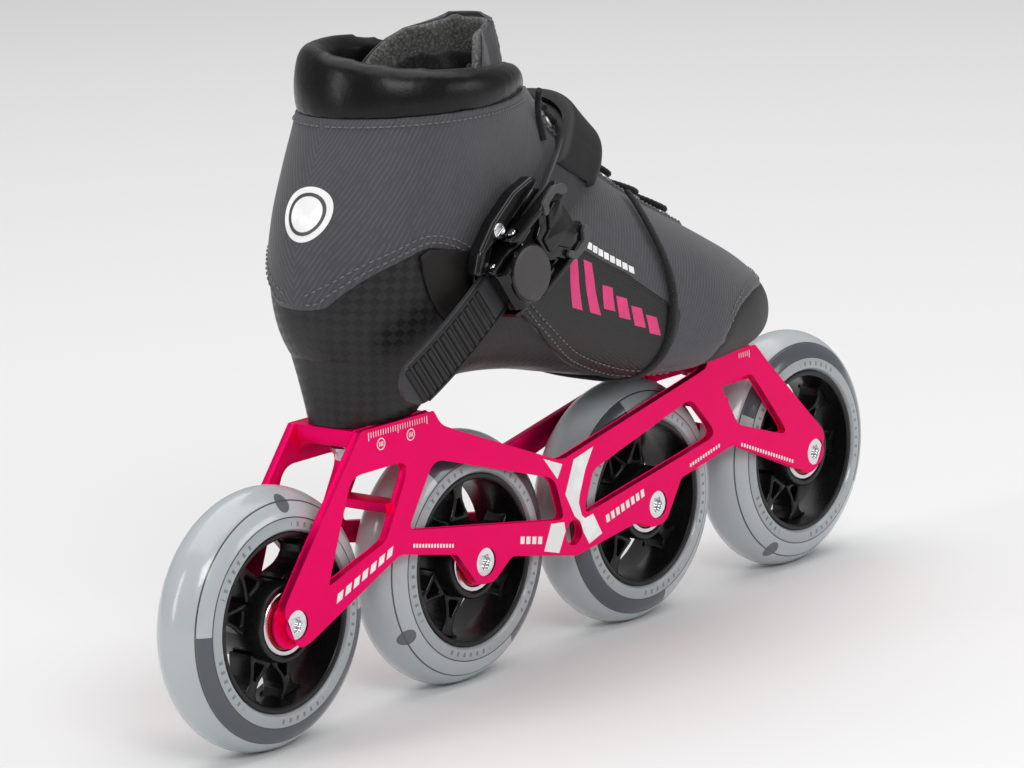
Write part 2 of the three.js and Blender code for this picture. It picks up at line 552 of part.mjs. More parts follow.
// Top edge of the toe cap in side view, from the sole to the front.
const CAP_EDGE = [[201, 60], [201.5, 98], [203, 104], [207.5, 111.5], [215, 117], [230, 119.5], [251, 118.5],
  [290, 121]];
const raised = (edge, dx, dz) => edge.map(([x, z]) => [x + dx, z + dz]);
const shellZone = prism([...SHELL_EDGE, [201, 60], [10, 60]]);
const capZone = prism([...CAP_EDGE, [290, 60]].map(([x, z]) => [x + GAP, z]));
const upperZone = prism([...raised(SHELL_EDGE.slice(0, -1), 0, GAP * 1.4), [200.6, 97.4],
  ...raised(CAP_EDGE.slice(2), 0, GAP * 1.4), [290, 260], [10, 260]]);

const insertHoles = [[rearMount, rearTop], [frontMount, frontTop]].map(([x, top], i) =>
  toSolid(cylinderZ(INSERT_RADIUS + GAP, top - 1, top + (i === 0 ? 6 : 4.2), x, 0, 20)));
add('boot_shell', toGeometry(bootWall.intersect(shellZone).subtract(insertHoles[0])), 'carbon');
add('toe_cap', toGeometry(bootWall.intersect(capZone).subtract(insertHoles[1])), 'toeRubber');
add('upper', toGeometry(bootWall.intersect(upperZone)), 'upper');

// ---------------------------------------------------------------- boot: soft parts
// Section number at which a line of constant angle reaches a height.
function sectionAtHeight(angle, z) {
  let [lo, hi] = [11, LAST];
  for (let i = 0; i < 30; i++) {
    const m = (lo + hi) / 2;
    if (bootPoint(m, angle).z < z) lo = m;
    else hi = m;
  }
  return (lo + hi) / 2;
}
const collarFoot = UPPER_TOP + bootLift + GAP;
const collarLoops = steps(22, 33, 327).map((a) => {
  const foot = sectionAtHeight(a, collarFoot);
  const mid = (foot + LAST) / 2;
  const footInner = onBoot(foot, a, -COLLAR_THICKNESS);
  footInner.z = collarFoot;
  const footOuter = onBoot(foot, a, 0.4);
  footOuter.z = collarFoot;
  return [footOuter, onBoot(mid, a, 1.6), onBoot(LAST - 0.1, a, 0.6),
    onBoot(LAST, a, -4).add(V(0, 0, 2)), onBoot(LAST - 0.1, a, -COLLAR_THICKNESS), footInner];
});
add('collar', loftLoops(collarLoops), 'leather');

const TONGUE_TOP_SECTION = 15;
const tongueHalf = (t) => between([[5, 20], [9, 30], [12, 38], [TONGUE_TOP_SECTION, 54]], t);
// Its middle stands in the throat and its sides pass behind the collar.
const behindCollar = COLLAR_THICKNESS - BOOT_WALL + 0.4;
const tongueDepth = (t, a) => BOOT_WALL + 1.1 + behindCollar
  * between([[5, 0], [10, 0], [12, 1], [LAST, 1]], t) * between([[0, 0], [20, 0], [31, 1], [60, 1]], Math.abs(a));
function tongueGrid(offset) {
  const low = steps(8, 5, TONGUE_TOP_SECTION).map((t) =>
    steps(8, -tongueHalf(t), tongueHalf(t)).map((a) => onBoot(t, a, offset - tongueDepth(t, a))));
  const high = [0.5, 1].map((f) => low[low.length - 1].map((p) =>
    p.clone().add(V(-4 * f, 0, TONGUE_RISE * f))));
  return [...low, ...high];
}
add('tongue', slab(tongueGrid(0), tongueGrid(-TONGUE_THICKNESS)), 'lining');

const insoleLow = SOLE_THICKNESS + 0.4;
add('insole', bootPatch(steps(9, 2.2, 11), (t) => {
  const half = between([[2, 30], [4, 38], [11, 34]], t);
  return [180 - half, 180 + half];
}, -insoleLow - INSOLE_THICKNESS, -insoleLow, 4), 'lining');

// Side panels over the arch, in front of the buckle.
const PANEL_LOW = [[6.2, 199], [6.8, 203], [7.75, 219], [8.85, 241], [10.1, 258]];
const PANEL_HIGH = [[6.2, 272], [7.45, 279], [8.6, 281], [10.1, 284]];
for (const [side, label] of [[1, 'outer'], [-1, 'inner']]) {
  add(`side_panel_${label}`, bootPatch(steps(8, 6.25, 10.1), (t) =>
    [between(PANEL_LOW, t), between(PANEL_HIGH, t)].map((a) => (side > 0 ? a : 360 - a)),
  PANEL_LIFT, PANEL_LIFT + PANEL_THICKNESS, 9), 'panel');
}

// Eyestays: facings along both edges of the throat.
const eyestay = (t) => [throatHalf(t) + 1.5, throatHalf(t) + 15];
for (const [side, label] of [[-1, 'outer'], [1, 'inner']]) {
  add(`eyestay_${label}`, bootPatch(steps(8, 4.5, 11.8), (t) => eyestay(t).map((a) => side * a),
    PANEL_LIFT, PANEL_LIFT + PANEL_THICKNESS, 3), 'upper');
}

// Lace: one cord, zigzag across the throat, with its ends tucked down the outer side.
const laceR = LACE_DIAMETER / 2;
function lacePath() {
  const rowT = steps(LACE_ROWS - 1, 4.9, 11.4);
  const overStay = PANEL_LIFT + PANEL_THICKNESS + 1.5 + laceR;
  const hole = (i, side) => onBoot(rowT[i], side * (throatHalf(rowT[i]) + 7), overStay);
  const middle = (i, lift) => onBoot(rowT[i] + 0.5, 0, lift);
  const one = [];
  const two = [];
  for (let i = 0; i < LACE_ROWS; i++) {
    const side = i % 2 === 0 ? 1 : -1;
    one.push(hole(i, side));
    two.push(hole(i, -side));
    if (i < LACE_ROWS - 1) {
      one.push(middle(i, laceR + LACE_LIFT));
      two.push(middle(i, laceR + LACE_LIFT + LACE_DIAMETER + 0.5));
    }
  }
  const start = onBoot(rowT[0] - 0.35, 0, laceR + LACE_LIFT + 0.6);
  return [...one.reverse(), start, ...two];
}
function cord(points, diameter, sides, count) {
  const round = new THREE.Shape();
  steps(sides, 0, 360).slice(0, sides).forEach((deg, i) => {
    const p = [diameter / 2 * Math.cos(rad(deg)), diameter / 2 * Math.sin(rad(deg))];
    if (i === 0) round.moveTo(...p);
    else round.lineTo(...p);
  });
  round.closePath();
  const path = new THREE.CatmullRomCurve3(points, false, 'centripetal');
  return closedFromSolid(toSolid(new THREE.ExtrudeGeometry(round, { extrudePath: path, steps: count,
    bevelEnabled: false })));
}
add('lace', cord(lacePath(), LACE_DIAMETER, 6, 62), 'cord');
// Its end comes down from under the collar: section, angle and height over the boot at each point.
const LACE_END = [[13.4, 322, 6], [12.6, 322, 4], [12.1, 320, 2.6], [11.7, 318, 2], [11.3, 314, 2]];
add('lace_end', cord(LACE_END.map(([t, a, d]) => onBoot(t, a, d)), LACE_DIAMETER, 6, 12), 'cord');

// Elastic band round the forefoot, from one edge of the throat under the sole to the other.
const BAND_LINE = [[0, 7.05], [34, 7.0], [58, 6.8], [75, 6.4], [100, 6.3], [130, 6.2], [180, 5.9]];
const bandSection = (a) => between(BAND_LINE, Math.min(a, 360 - a));
const bandLoops = steps(22, 36, 324).map((a) => {
  const t = bandSection(a);
  const next = onBoot(bandSection(a + 2), a + 2, 0).sub(onBoot(bandSection(a - 2), a - 2, 0)).normalize();
  const n = bootNormal(t, a);
  const across = next.cross(n).normalize().multiplyScalar(BAND_WIDTH / 2);
  const low = onBoot(t, a, PANEL_LIFT + PANEL_THICKNESS + 0.6);
  const high = low.clone().addScaledVector(n, BAND_THICKNESS);
  return [low.clone().add(across), low.clone().sub(across), high.clone().sub(across), high.clone().add(across)];
});
add('forefoot_band', loftLoops(bandLoops), 'cord');

// ---------------------------------------------------------------- boot bolts
[[rearMount, rearTop, 6, 'rear'], [frontMount, frontTop, 4.2, 'front']].forEach(([x, top, deep, label]) => {
  const under = top - PLATFORM_THICKNESS;
  const washerTop = under - GAP;
  const headTop = washerTop - WASHER_THICKNESS - GAP;
  const ring = toSolid(cylinderZ(WASHER_RADIUS, washerTop - WASHER_THICKNESS, washerTop, x, 0, 20))
    .subtract(toSolid(cylinderZ(BOLT_RADIUS + GAP, under - 20, under + 20, x, 0, 16)));
  add(`mount_washer_${label}`, toGeometry(ring), 'steel');
  const bolt = union(toSolid(cylinderZ(BOLT_RADIUS, headTop - 1, top + deep - 1, x, 0, 16)),
    toSolid(cylinderZ(BOLT_HEAD_RADIUS, headTop - BOLT_HEAD_HEIGHT, headTop, x, 0, 20)))
    .subtract(toSolid(cylinderZ(2.3, headTop - BOLT_HEAD_HEIGHT - 1, headTop - 1, x, 0, 6)));
  add(`mount_bolt_${label}`, toGeometry(bolt), 'steel');
  const insert = toSolid(cylinderZ(INSERT_RADIUS, top + GAP * 2, top + deep - GAP, x, 0, 20))
    .subtract(toSolid(cylinderZ(BOLT_RADIUS + 0.15, top - 5, top + deep + 5, x, 0, 16)));
  add(`mount_insert_${label}`, toGeometry(insert), 'steel');
});

// ---------------------------------------------------------------- instep strap
// The strap lies on a line round the instep, from the inner side over the laces to the buckle.
const STRAP_LINE = [[0, 9.0], [20, 9.1], [40, 9.55], [60, 10.15], [78, 10.781], [95, 11.0]];
const strapSection = (a) => between(STRAP_LINE, Math.abs(a));
const PAD_REACH = 47;
const laceClear = 2 * LACE_DIAMETER + LACE_LIFT + 1.4;
const padLow = (a) => lerp(laceClear, 2.6, Math.min(1, Math.abs(a) / 40) ** 2);
// A flat strap needs the more room over the curved pad the wider it is.
const padToStrap = STRAP_WIDTH * 0.1;
const strapLow = (a) => padLow(a) + PAD_THICKNESS + padToStrap;
const padHalf = (a) => lerp(1.15, 0.85, Math.abs(a) / PAD_REACH);
add('instep_pad', slab(...[PAD_THICKNESS, 0].map((extra) => steps(6, -1, 1).map((f) =>
  steps(12, -PAD_REACH, PAD_REACH).map((a) =>
    onBoot(strapSection(a) - 0.25 + f * padHalf(a), a, padLow(a) + extra))))), 'strap');

const BUCKLE_ANGLE = -88;
// Frame of the buckle: e1 along the strap to the instep, e2 across it, e3 away from the boot.
function strapFrame(a) {
  const here = onBoot(strapSection(a), a, 0);
  const e3 = bootNormal(strapSection(a), a);
  const ahead = onBoot(strapSection(a + 3), a + 3, 0).sub(onBoot(strapSection(a - 3), a - 3, 0));
  const e1 = ahead.addScaledVector(e3, -ahead.dot(e3)).normalize();
  return { here, e1, e2: e3.clone().cross(e1), e3 };
}
const seat = strapFrame(BUCKLE_ANGLE);
const seatMatrix = new THREE.Matrix4().makeBasis(seat.e1, seat.e2, seat.e3).setPosition(seat.here);
const atSeat = (x, y, z) => V(x, y, z).applyMatrix4(seatMatrix);
const BASE_LOW = 2.4;            // buckle plate above the boot's surface
const strapRun = BASE_LOW + BUCKLE_PLATE + GAP;

// Centre line of the strap: under the buckle and its tail it runs straight, then round the instep.
function strapStations() {
  const stations = [];
  const straight = [...steps(12, -BUCKLE_LENGTH / 2 - STRAP_TAIL, -BUCKLE_LENGTH / 2), 0, BUCKLE_LENGTH / 2 + 1];
  for (const s of straight) {
    const past = Math.max(0, -BUCKLE_LENGTH / 2 - s);
    const droop = 7 * (past / STRAP_TAIL) ** 2;
    stations.push({ p: atSeat(s, 0, strapRun - droop), n: seat.e3, across: seat.e2 });
  }
  for (const a of steps(12, -44, 100)) {
    const f = strapFrame(a);
    stations.push({ p: f.here.clone().addScaledVector(f.e3, strapLow(a)), n: f.e3, across: f.e2 });
  }
  return stations;
}
function makeStrap() {
  const half = STRAP_WIDTH / 2;
  const stations = strapStations();
  const loops = stations.map(({ p, n, across }, i) => {
    const w = i === 0 ? half * 0.62 : i === 1 ? half * 0.93 : half;
    const at = (y, z) => p.clone().addScaledVector(across, y).addScaledVector(n, z);
    return [at(-w, 0), at(w, 0), at(w, STRAP_THICKNESS), at(-w, STRAP_THICKNESS)];
  });
  const body = toSolid(loftLoops(loops));
  const ribs = [];
  const first = -BUCKLE_LENGTH / 2 - STRAP_TAIL + 5;
  for (let s = first; s < -BUCKLE_LENGTH / 2 - 2; s += STRAP_RIB_PITCH) {
    const droop = 7 * ((-BUCKLE_LENGTH / 2 - s) / STRAP_TAIL) ** 2;
    const z = strapRun + STRAP_THICKNESS - droop;
    const rib = box(-STRAP_RIB_PITCH * 0.25, STRAP_RIB_PITCH * 0.25, -half + 1.6, half - 1.6, -0.8, STRAP_RIB)
      .translate(s, 0, z).applyMatrix4(seatMatrix);
    ribs.push(toSolid(rib));
  }
  return toGeometry(union(body, ...ribs));
}
add('ladder_strap', makeStrap(), 'strap');

// ---------------------------------------------------------------- buckle
const strapTop = strapRun + STRAP_THICKNESS;
const hinge = { x: -4, z: strapTop + 4.6 };
const pawlPin = { x: -17.5, z: strapTop + 3.2 };
const wallY = STRAP_WIDTH / 2 + 0.5;
const earY = wallY + EAR_THICKNESS;
const inSeat = (geometry) => geometry.applyMatrix4(seatMatrix);
// The same plate on both sides of the strap.
function sidePlates(points, y0, y1) {
  const shape = roundedOutline(points);
  return [plateXZ(shape, y0, y1, 2), plateXZ(shape, -y1, -y0, 2)].map(toSolid);
}
const bore = ({ x, z }, r) => toSolid(cylinderY(r, -30, 30, x, z, 14));
// Base: a plate under the strap with an ear on each side.
const baseTop = BASE_LOW + BUCKLE_PLATE;
const basePlate = toSolid(box(-BUCKLE_LENGTH / 2, BUCKLE_LENGTH / 2, -earY, earY, BASE_LOW, baseTop));
const ears = sidePlates([[-21, baseTop - 1], [6, baseTop - 1], [3, hinge.z + 2.8, 3], [-7, hinge.z + 3, 3],
  [-13, pawlPin.z + 2.6, 3], [-20.5, pawlPin.z + 2.6, 2]], wallY, earY);
const rivetX = 15;
const base = union(basePlate, ...ears).subtract(bore(hinge, HINGE_PIN_RADIUS + PIN_CLEARANCE))
  .subtract(bore(pawlPin, PAWL_PIN_RADIUS + PIN_CLEARANCE))
  .subtract(toSolid(cylinderZ(2.3, 0, baseTop + 1, rivetX, 0, 14)));
add('buckle_base', inSeat(toGeometry(base)), 'greyMetal');
// The rivet that holds the base to the boot lies under the strap.
const rivet = union(toSolid(cylinderZ(3.4, BASE_LOW - 1.1, BASE_LOW - GAP, rivetX, 0, 14)),
  toSolid(cylinderZ(1.9, BASE_LOW - 1, baseTop, rivetX, 0, 14)));
add('buckle_rivet', inSeat(toGeometry(rivet)), 'steel');
const pinY = earY + GAP + LEVER_THICKNESS + 0.8;
add('hinge_pin', inSeat(cylinderY(HINGE_PIN_RADIUS, -pinY, pinY, hinge.x, hinge.z, 14)), 'steel');
add('pawl_pin', inSeat(cylinderY(PAWL_PIN_RADIUS, -earY - 0.4, earY + 0.4, pawlPin.x, pawlPin.z, 12)), 'steel');

// Lever: two arms outside the ears, joined by a plate over the strap.
const armY = earY + GAP;
const leverEnd = hinge.x + LEVER_LENGTH;
const arms = sidePlates([[hinge.x - 4, hinge.z - 3.5, 3], [hinge.x - 4, hinge.z + 3.5, 3],
  [hinge.x + 12, hinge.z + 4.8, 4], [leverEnd, hinge.z + 3.4, 1.5], [leverEnd, hinge.z + 0.4, 1.5],
  [hinge.x + 10, hinge.z - 0.6, 4], [hinge.x + 3, hinge.z - 4, 3]], armY, armY + LEVER_THICKNESS);
const leverPlate = toSolid(box(hinge.x + 11, leverEnd - 0.5, -armY - 1, armY + 1, hinge.z + 0.8, hinge.z + 3.2));
const lever = union(...arms, leverPlate).subtract(bore(hinge, HINGE_PIN_RADIUS + PIN_CLEARANCE));
add('buckle_lever', inSeat(toGeometry(lever)), 'plastic');

// Pawl: its tooth holds the ladder, and its round thumb pad lifts it.
const pawlShape = roundedOutline([[pawlPin.x - 2.6, pawlPin.z - 2, 1.5], [pawlPin.x + 4, pawlPin.z - 1.4, 1],
  [pawlPin.x + 7.2, strapTop + 0.4], [pawlPin.x + 8.6, strapTop + 0.4], [pawlPin.x + 9.4, pawlPin.z + 2, 1],
  [pawlPin.x + 6, hinge.z + 4.6, 1], [pawlPin.x - 1, hinge.z + 4.6, 1], [pawlPin.x - 2.6, pawlPin.z + 2.2, 1.5]]);
const pawlBody = toSolid(plateXZ(pawlShape, -wallY + 1, wallY - 1, 2));
const thumbLow = hinge.z + 4.2;
const thumb = toSolid(cylinderZ(THUMB_RADIUS, thumbLow, thumbLow + 2.2, pawlPin.x + 8, 0, 24));
const pawl = union(pawlBody, thumb).subtract(bore(pawlPin, PAWL_PIN_RADIUS + PIN_CLEARANCE));
add('release_pawl', inSeat(toGeometry(pawl)), 'plastic');

// Anchor on the inner side, where the strap's fixed end is screwed down.
const anchor = strapFrame(96);
const anchorMatrix = new THREE.Matrix4().makeBasis(anchor.e1, anchor.e2, anchor.e3).setPosition(anchor.here);
const anchorTop = strapLow(96) + STRAP_THICKNESS + GAP;
add('strap_screw', toGeometry(toSolid(cylinderZ(5, anchorTop, anchorTop + 1.6, 0, 0, 20))
  .subtract(toSolid(cylinderZ(2, anchorTop + 0.6, anchorTop + 3, 0, 0, 6)))).applyMatrix4(anchorMatrix), 'steel');
add('strap_base', bootPatch(steps(6, 10.4, 14.2), (t) => {
  const mid = between([[10.4, -98], [14.2, -106]], t);
  const half = between([[10.4, 17], [14.2, 9]], t);
  return [mid - half, mid + half];
}, PANEL_LIFT, PANEL_LIFT + PANEL_THICKNESS, 4), 'leather');

// ---------------------------------------------------------------- place: middle of the footprint at x = y = 0
// userData names the axes that the wheels, the lever and the pawl turn about, before the shift.
const bounds = new THREE.Box3().setFromObject(skate);
skate.position.set(-(bounds.min.x + bounds.max.x) / 2, -(bounds.min.y + bounds.max.y) / 2, 0);
skate.userData = {
  shift: skate.position.toArray(),
  axles: axles.map((x) => [x, 0, axleZ]),
  hinge: { pos: atSeat(hinge.x, 0, hinge.z).toArray(), axis: seat.e2.toArray() },
  pawl: { pos: atSeat(pawlPin.x, 0, pawlPin.z).toArray(), axis: seat.e2.toArray() },
};
export default skate;
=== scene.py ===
# %% [markdown]
# # An inline speed skate
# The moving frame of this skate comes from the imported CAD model: wheels, axles, frame, boot, strap and
# buckle, each with its own size and place. This lesson gives every one of them its real surface.
# Drawing is done in millimetres from a datum on the floor under the rear axle: x runs to the toe, y to
# the inner side of the foot and z up. One function turns those numbers into metres in the CAD's frame.

# %% Load the frame
import math

import bmesh
import bpy
import numpy as np
from mathutils import Matrix, Vector


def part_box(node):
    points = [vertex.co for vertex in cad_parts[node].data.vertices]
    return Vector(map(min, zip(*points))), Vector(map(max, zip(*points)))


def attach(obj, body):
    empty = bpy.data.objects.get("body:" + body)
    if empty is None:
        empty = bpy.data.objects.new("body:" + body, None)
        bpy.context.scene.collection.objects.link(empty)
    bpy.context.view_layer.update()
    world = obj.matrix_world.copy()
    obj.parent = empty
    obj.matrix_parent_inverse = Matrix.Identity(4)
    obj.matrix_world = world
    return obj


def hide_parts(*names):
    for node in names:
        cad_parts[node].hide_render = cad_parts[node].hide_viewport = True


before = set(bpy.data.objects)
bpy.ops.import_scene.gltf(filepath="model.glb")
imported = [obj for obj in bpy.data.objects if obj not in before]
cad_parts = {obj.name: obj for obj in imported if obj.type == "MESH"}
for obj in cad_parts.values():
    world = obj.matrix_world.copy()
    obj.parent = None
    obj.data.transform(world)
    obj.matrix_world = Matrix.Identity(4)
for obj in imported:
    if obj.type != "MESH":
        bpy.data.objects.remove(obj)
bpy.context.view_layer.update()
MM = 0.001
low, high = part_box("wheel_1_tyre")
DATUM = np.array([(low.x + high.x) / 2, (low.y + high.y) / 2, 0.0])
scene = bpy.context.scene

# %% [markdown]
# ## Camera, light and floor
# The skate is seen from behind its outer side. The camera stands 1.6 m off with a 160 mm lens, so the
# far wheel looks somewhat smaller than the near one. A wider lens from nearer by would frame the same
# skate but bend it more. Large soft lights and a bright room keep shadows pale, as on a product table.

# %% Camera
def placed(points_mm):
    """Millimetres from the datum to metres in the CAD's frame."""
    return np.asarray(points_mm, float) * MM + DATUM


def axis_turn(yaw, pitch, roll):
    """Columns right, up and back of a camera, from its angles in degrees."""
    a, e, r = (math.radians(v) for v in (yaw, pitch, roll))
    back = Vector((math.sin(a) * math.cos(e), -math.cos(a) * math.cos(e), math.sin(e)))
    right = Vector((0, 0, 1)).cross(back).normalized()
    up = back.cross(right)
    turned_right = math.cos(r) * right + math.sin(r) * up
    turned_up = -math.sin(r) * right + math.cos(r) * up
    return Matrix((turned_right, turned_up, back)).transposed()


CAMERA_MM = (-1070.5, -1016.3, 431.2)
CAMERA_LENS = 160.44
camera = bpy.data.objects.new("camera", bpy.data.cameras.new("camera"))
scene.collection.objects.link(camera)
camera.data.lens = CAMERA_LENS
camera.data.sensor_width = 36
camera.data.clip_end = 50
camera.matrix_world = Matrix.Translation(placed(CAMERA_MM)) @ axis_turn(-49.871, 11.885, -2.518).to_4x4()
scene.camera = camera
scene.view_settings.view_transform = "Standard"
print("camera stands", round(camera.location.length, 2), "m from the middle of the skate")

# %% Lights and floor
def soft_light(name, place, size, power, aim=(0, 0, 0.1)):
    data = bpy.data.lights.new(name, "AREA")
    data.shape = "RECTANGLE"
    data.size, data.size_y = size
    data.energy = power
    lamp = bpy.data.objects.new(name, data)
    scene.collection.objects.link(lamp)
    lamp.location = place
    lamp.rotation_euler = (Vector(aim) - Vector(place)).to_track_quat("-Z", "Y").to_euler()
    return lamp


soft_light("key_light", (-0.9, -1.3, 1.1), (0.7, 0.5), 9)
soft_light("back_light", (-1.5, 0.5, 0.7), (0.3, 1.0), 5)
soft_light("side_light", (0.9, -1.6, 0.6), (0.8, 0.4), 4)
soft_light("top_light", (0.3, 0.3, 2.4), (3.4, 3.4), 62, (0.3, 0.3, 0))

world = bpy.data.worlds.new("studio")
scene.world = world
world.use_nodes = True
world.node_tree.nodes["Background"].inputs["Color"].default_value = (1, 1, 1, 1)
world.node_tree.nodes["Background"].inputs["Strength"].default_value = 0.30

floor_mesh = bpy.data.meshes.new("floor")
REACH = 12.0
floor_mesh.from_pydata([(-REACH, -REACH, 0), (REACH, -REACH, 0), (REACH, REACH, 0), (-REACH, REACH, 0)],
                       [], [(0, 1, 2, 3)])
floor = bpy.data.objects.new("floor", floor_mesh)
scene.collection.objects.link(floor)
print("lights:", len(bpy.data.lights))

# %% [markdown]
# ## Shared effects for the finishes
# Real surfaces are never one flat colour. Three effects come back in many of the materials here: a fine
# grain that breaks up the gloss, a cloudy change of colour, and a weave. Each is a node group that puts
# out only a value, so that the shader itself stays in the material.

# %% Node helpers
def new_group(name, inputs, outputs):
    group = bpy.data.node_groups.new(name, "ShaderNodeTree")
    for label, kind, value in inputs:
        item = group.interface.new_socket(name=label, in_out="INPUT", socket_type=kind)
        if value is not None:
            item.default_value = value
    for label in outputs:
        group.interface.new_socket(name=label, in_out="OUTPUT", socket_type="NodeSocketFloat")
    return group, group.nodes.new("NodeGroupInput"), group.nodes.new("NodeGroupOutput")


def maths(tree, operation, a, b=None, c=None, clamp=False):
    """Math node whose inputs are sockets or numbers; gives its output socket."""
    node = tree.nodes.new("ShaderNodeMath")
    node.operation = operation
    node.use_clamp = clamp
    for i, value in enumerate(v for v in (a, b, c) if v is not None):
        if isinstance(value, (int, float)):
            node.inputs[i].default_value = value
        else:
            tree.links.new(value, node.inputs[i])
    return node.outputs[0]


def step_up(tree, value, edge, softness):
    """0 below an edge, 1 above it, over a small softness."""
    node = tree.nodes.new("ShaderNodeMapRange")
    node.interpolation_type = "SMOOTHSTEP"
    tree.links.new(value, node.inputs["Value"])
    node.inputs["From Min"].default_value = edge - softness
    node.inputs["From Max"].default_value = edge + softness
    return node.outputs["Result"]


def split(tree, vector):
    node = tree.nodes.new("ShaderNodeSeparateXYZ")
    tree.links.new(vector, node.inputs[0])
    return node.outputs


# %% Grain, clouds and weave
def grain_group():
    """Fine isotropic roughness, as on blasted metal, moulded plastic and skin leather."""
    group, start, end = new_group("grain", [("Vector", "NodeSocketVector", None),
                                            ("Size mm", "NodeSocketFloat", 0.5)], ["Height"])
    scale = maths(group, "DIVIDE", 1000.0, start.outputs["Size mm"])
    noise = group.nodes.new("ShaderNodeTexNoise")
    noise.inputs["Detail"].default_value = 3
    group.links.new(start.outputs["Vector"], noise.inputs["Vector"])
    group.links.new(scale, noise.inputs["Scale"])
    group.links.new(noise.outputs["Fac"], end.inputs["Height"])
    return group


def weave_group():
    """Threads over and under each other, from a vector in millimetres."""
    group, start, end = new_group("weave", [("Vector mm", "NodeSocketVector", None),
                                            ("Thread mm", "NodeSocketFloat", 1.0)], ["Height", "Over"])
    x, y, _ = split(group, start.outputs["Vector mm"])
    u = maths(group, "DIVIDE", x, start.outputs["Thread mm"])
    v = maths(group, "DIVIDE", y, start.outputs["Thread mm"])
    over = maths(group, "PINGPONG", maths(group, "ADD", maths(group, "FLOOR", u), maths(group, "FLOOR", v)),
                 1.0)
    warp = maths(group, "ABSOLUTE", maths(group, "SINE", maths(group, "MULTIPLY", u, math.pi)))
    weft = maths(group, "ABSOLUTE", maths(group, "SINE", maths(group, "MULTIPLY", v, math.pi)))
    mix = group.nodes.new("ShaderNodeMix")
    group.links.new(over, mix.inputs[0])
    group.links.new(warp, mix.inputs[2])
    group.links.new(weft, mix.inputs[3])
    group.links.new(mix.outputs[0], end.inputs["Height"])
    group.links.new(over, end.inputs["Over"])
    return group


GRAIN = grain_group()
WEAVE = weave_group()
print("groups:", [g.name for g in bpy.data.node_groups])


# %% [markdown]
# ## A small kit for materials
# `Finish` holds one material while it is built. It keeps the Principled shader in the material and gives
# short ways to set a constant, tint by a mask and add relief. Relief heights are in millimetres.

# %% The material kit
class Finish:
    def __init__(self, name, colour, roughness, **constants):
        self.material = bpy.data.materials.new(name)
        self.material.use_nodes = True
        self.tree = self.material.node_tree
        self.shader = self.tree.nodes["Principled BSDF"]
        self.shader.inputs["Base Color"].default_value = (*colour, 1)
        self.shader.inputs["Roughness"].default_value = roughness
        for label, value in constants.items():
            self.shader.inputs[label.replace("_", " ")].default_value = value
        self.colour = None
        self.height = None
        self.relief_mm = 0.0
        self.place = self.tree.nodes.new("ShaderNodeTexCoord").outputs["Object"]

    def attribute(self, name):
        node = self.tree.nodes.new("ShaderNodeAttribute")
        node.attribute_name = name
        return node.outputs["Vector"]

    def put(self, group, **inputs):
        node = self.tree.nodes.new("ShaderNodeGroup")
        node.node_tree = group
        for label, value in inputs.items():
            socket = node.inputs[label.replace("_", " ")]
            if isinstance(value, (int, float)):
                socket.default_value = value
            else:
                self.tree.links.new(value, socket)
        return node.outputs

    def noise(self, size_mm, detail=2, vector=None, stretch=None):
        node = self.tree.nodes.new("ShaderNodeTexNoise")
        node.inputs["Scale"].default_value = 1000 / size_mm
        node.inputs["Detail"].default_value = detail
        source = vector or self.place
        if stretch:
            scaled = self.tree.nodes.new("ShaderNodeMapping")
            scaled.inputs["Scale"].default_value = stretch
            self.tree.links.new(source, scaled.inputs["Vector"])
            source = scaled.outputs[0]
        self.tree.links.new(source, node.inputs["Vector"])
        return node.outputs["Fac"]

    def tint(self, mask, colour, strength=1.0):
        """Colour goes towards another one where the mask is 1."""
        mix = self.tree.nodes.new("ShaderNodeMix")
        mix.data_type = "RGBA"
        amount = maths(self.tree, "MULTIPLY", mask, strength, clamp=True)
        self.tree.links.new(amount, mix.inputs["Factor"])
        if self.colour is None:
            mix.inputs["A"].default_value = self.shader.inputs["Base Color"].default_value
        else:
            self.tree.links.new(self.colour, mix.inputs["A"])
        mix.inputs["B"].default_value = (*colour, 1)
        self.colour = mix.outputs["Result"]
        self.tree.links.new(self.colour, self.shader.inputs["Base Color"])
        return self

    def rough(self, mask, at_zero, at_one):
        node = self.tree.nodes.new("ShaderNodeMapRange")
        self.tree.links.new(mask, node.inputs["Value"])
        node.inputs["To Min"].default_value = at_zero
        node.inputs["To Max"].default_value = at_one
        self.tree.links.new(node.outputs["Result"], self.shader.inputs["Roughness"])
        return self

    def relief(self, height, depth_mm):
        """Adds a height, in mm at height 1, under the one bump that feeds the shader."""
        scaled = maths(self.tree, "MULTIPLY", height, depth_mm)
        self.height = scaled if self.height is None else maths(self.tree, "ADD", self.height, scaled)
        return self

    def done(self):
        if self.height is not None:
            bump = self.tree.nodes.new("ShaderNodeBump")
            bump.inputs["Distance"].default_value = MM
            bump.inputs["Strength"].default_value = 1.0
            self.tree.links.new(self.height, bump.inputs["Height"])
            self.tree.links.new(bump.outputs["Normal"], self.shader.inputs["Normal"])
        return self.material


# %% [markdown]
# ## Metals, plastics and urethane
# The frame is blasted before it is anodised, so its magenta has a fine sparkle and no clear reflections.
# Turned and ground parts keep thin tool marks. The wheels are cast urethane: milky, a little clear at
# the edges, and smooth.

# %% Metal finishes
def anodised():
    f = Finish("anodised magenta", (0.93, 0.0010, 0.140), 0.42, Metallic=0.8, Specular_IOR_Level=0.1)
    clouds = f.noise(14)
    f.tint(step_up(f.tree, clouds, 0.55, 0.2), (0.84, 0.0010, 0.12), 0.35)
    grain = f.put(GRAIN, Vector=f.place, Size_mm=0.35)["Height"]
    return f.rough(grain, 0.34, 0.52).relief(grain, 0.035).done()


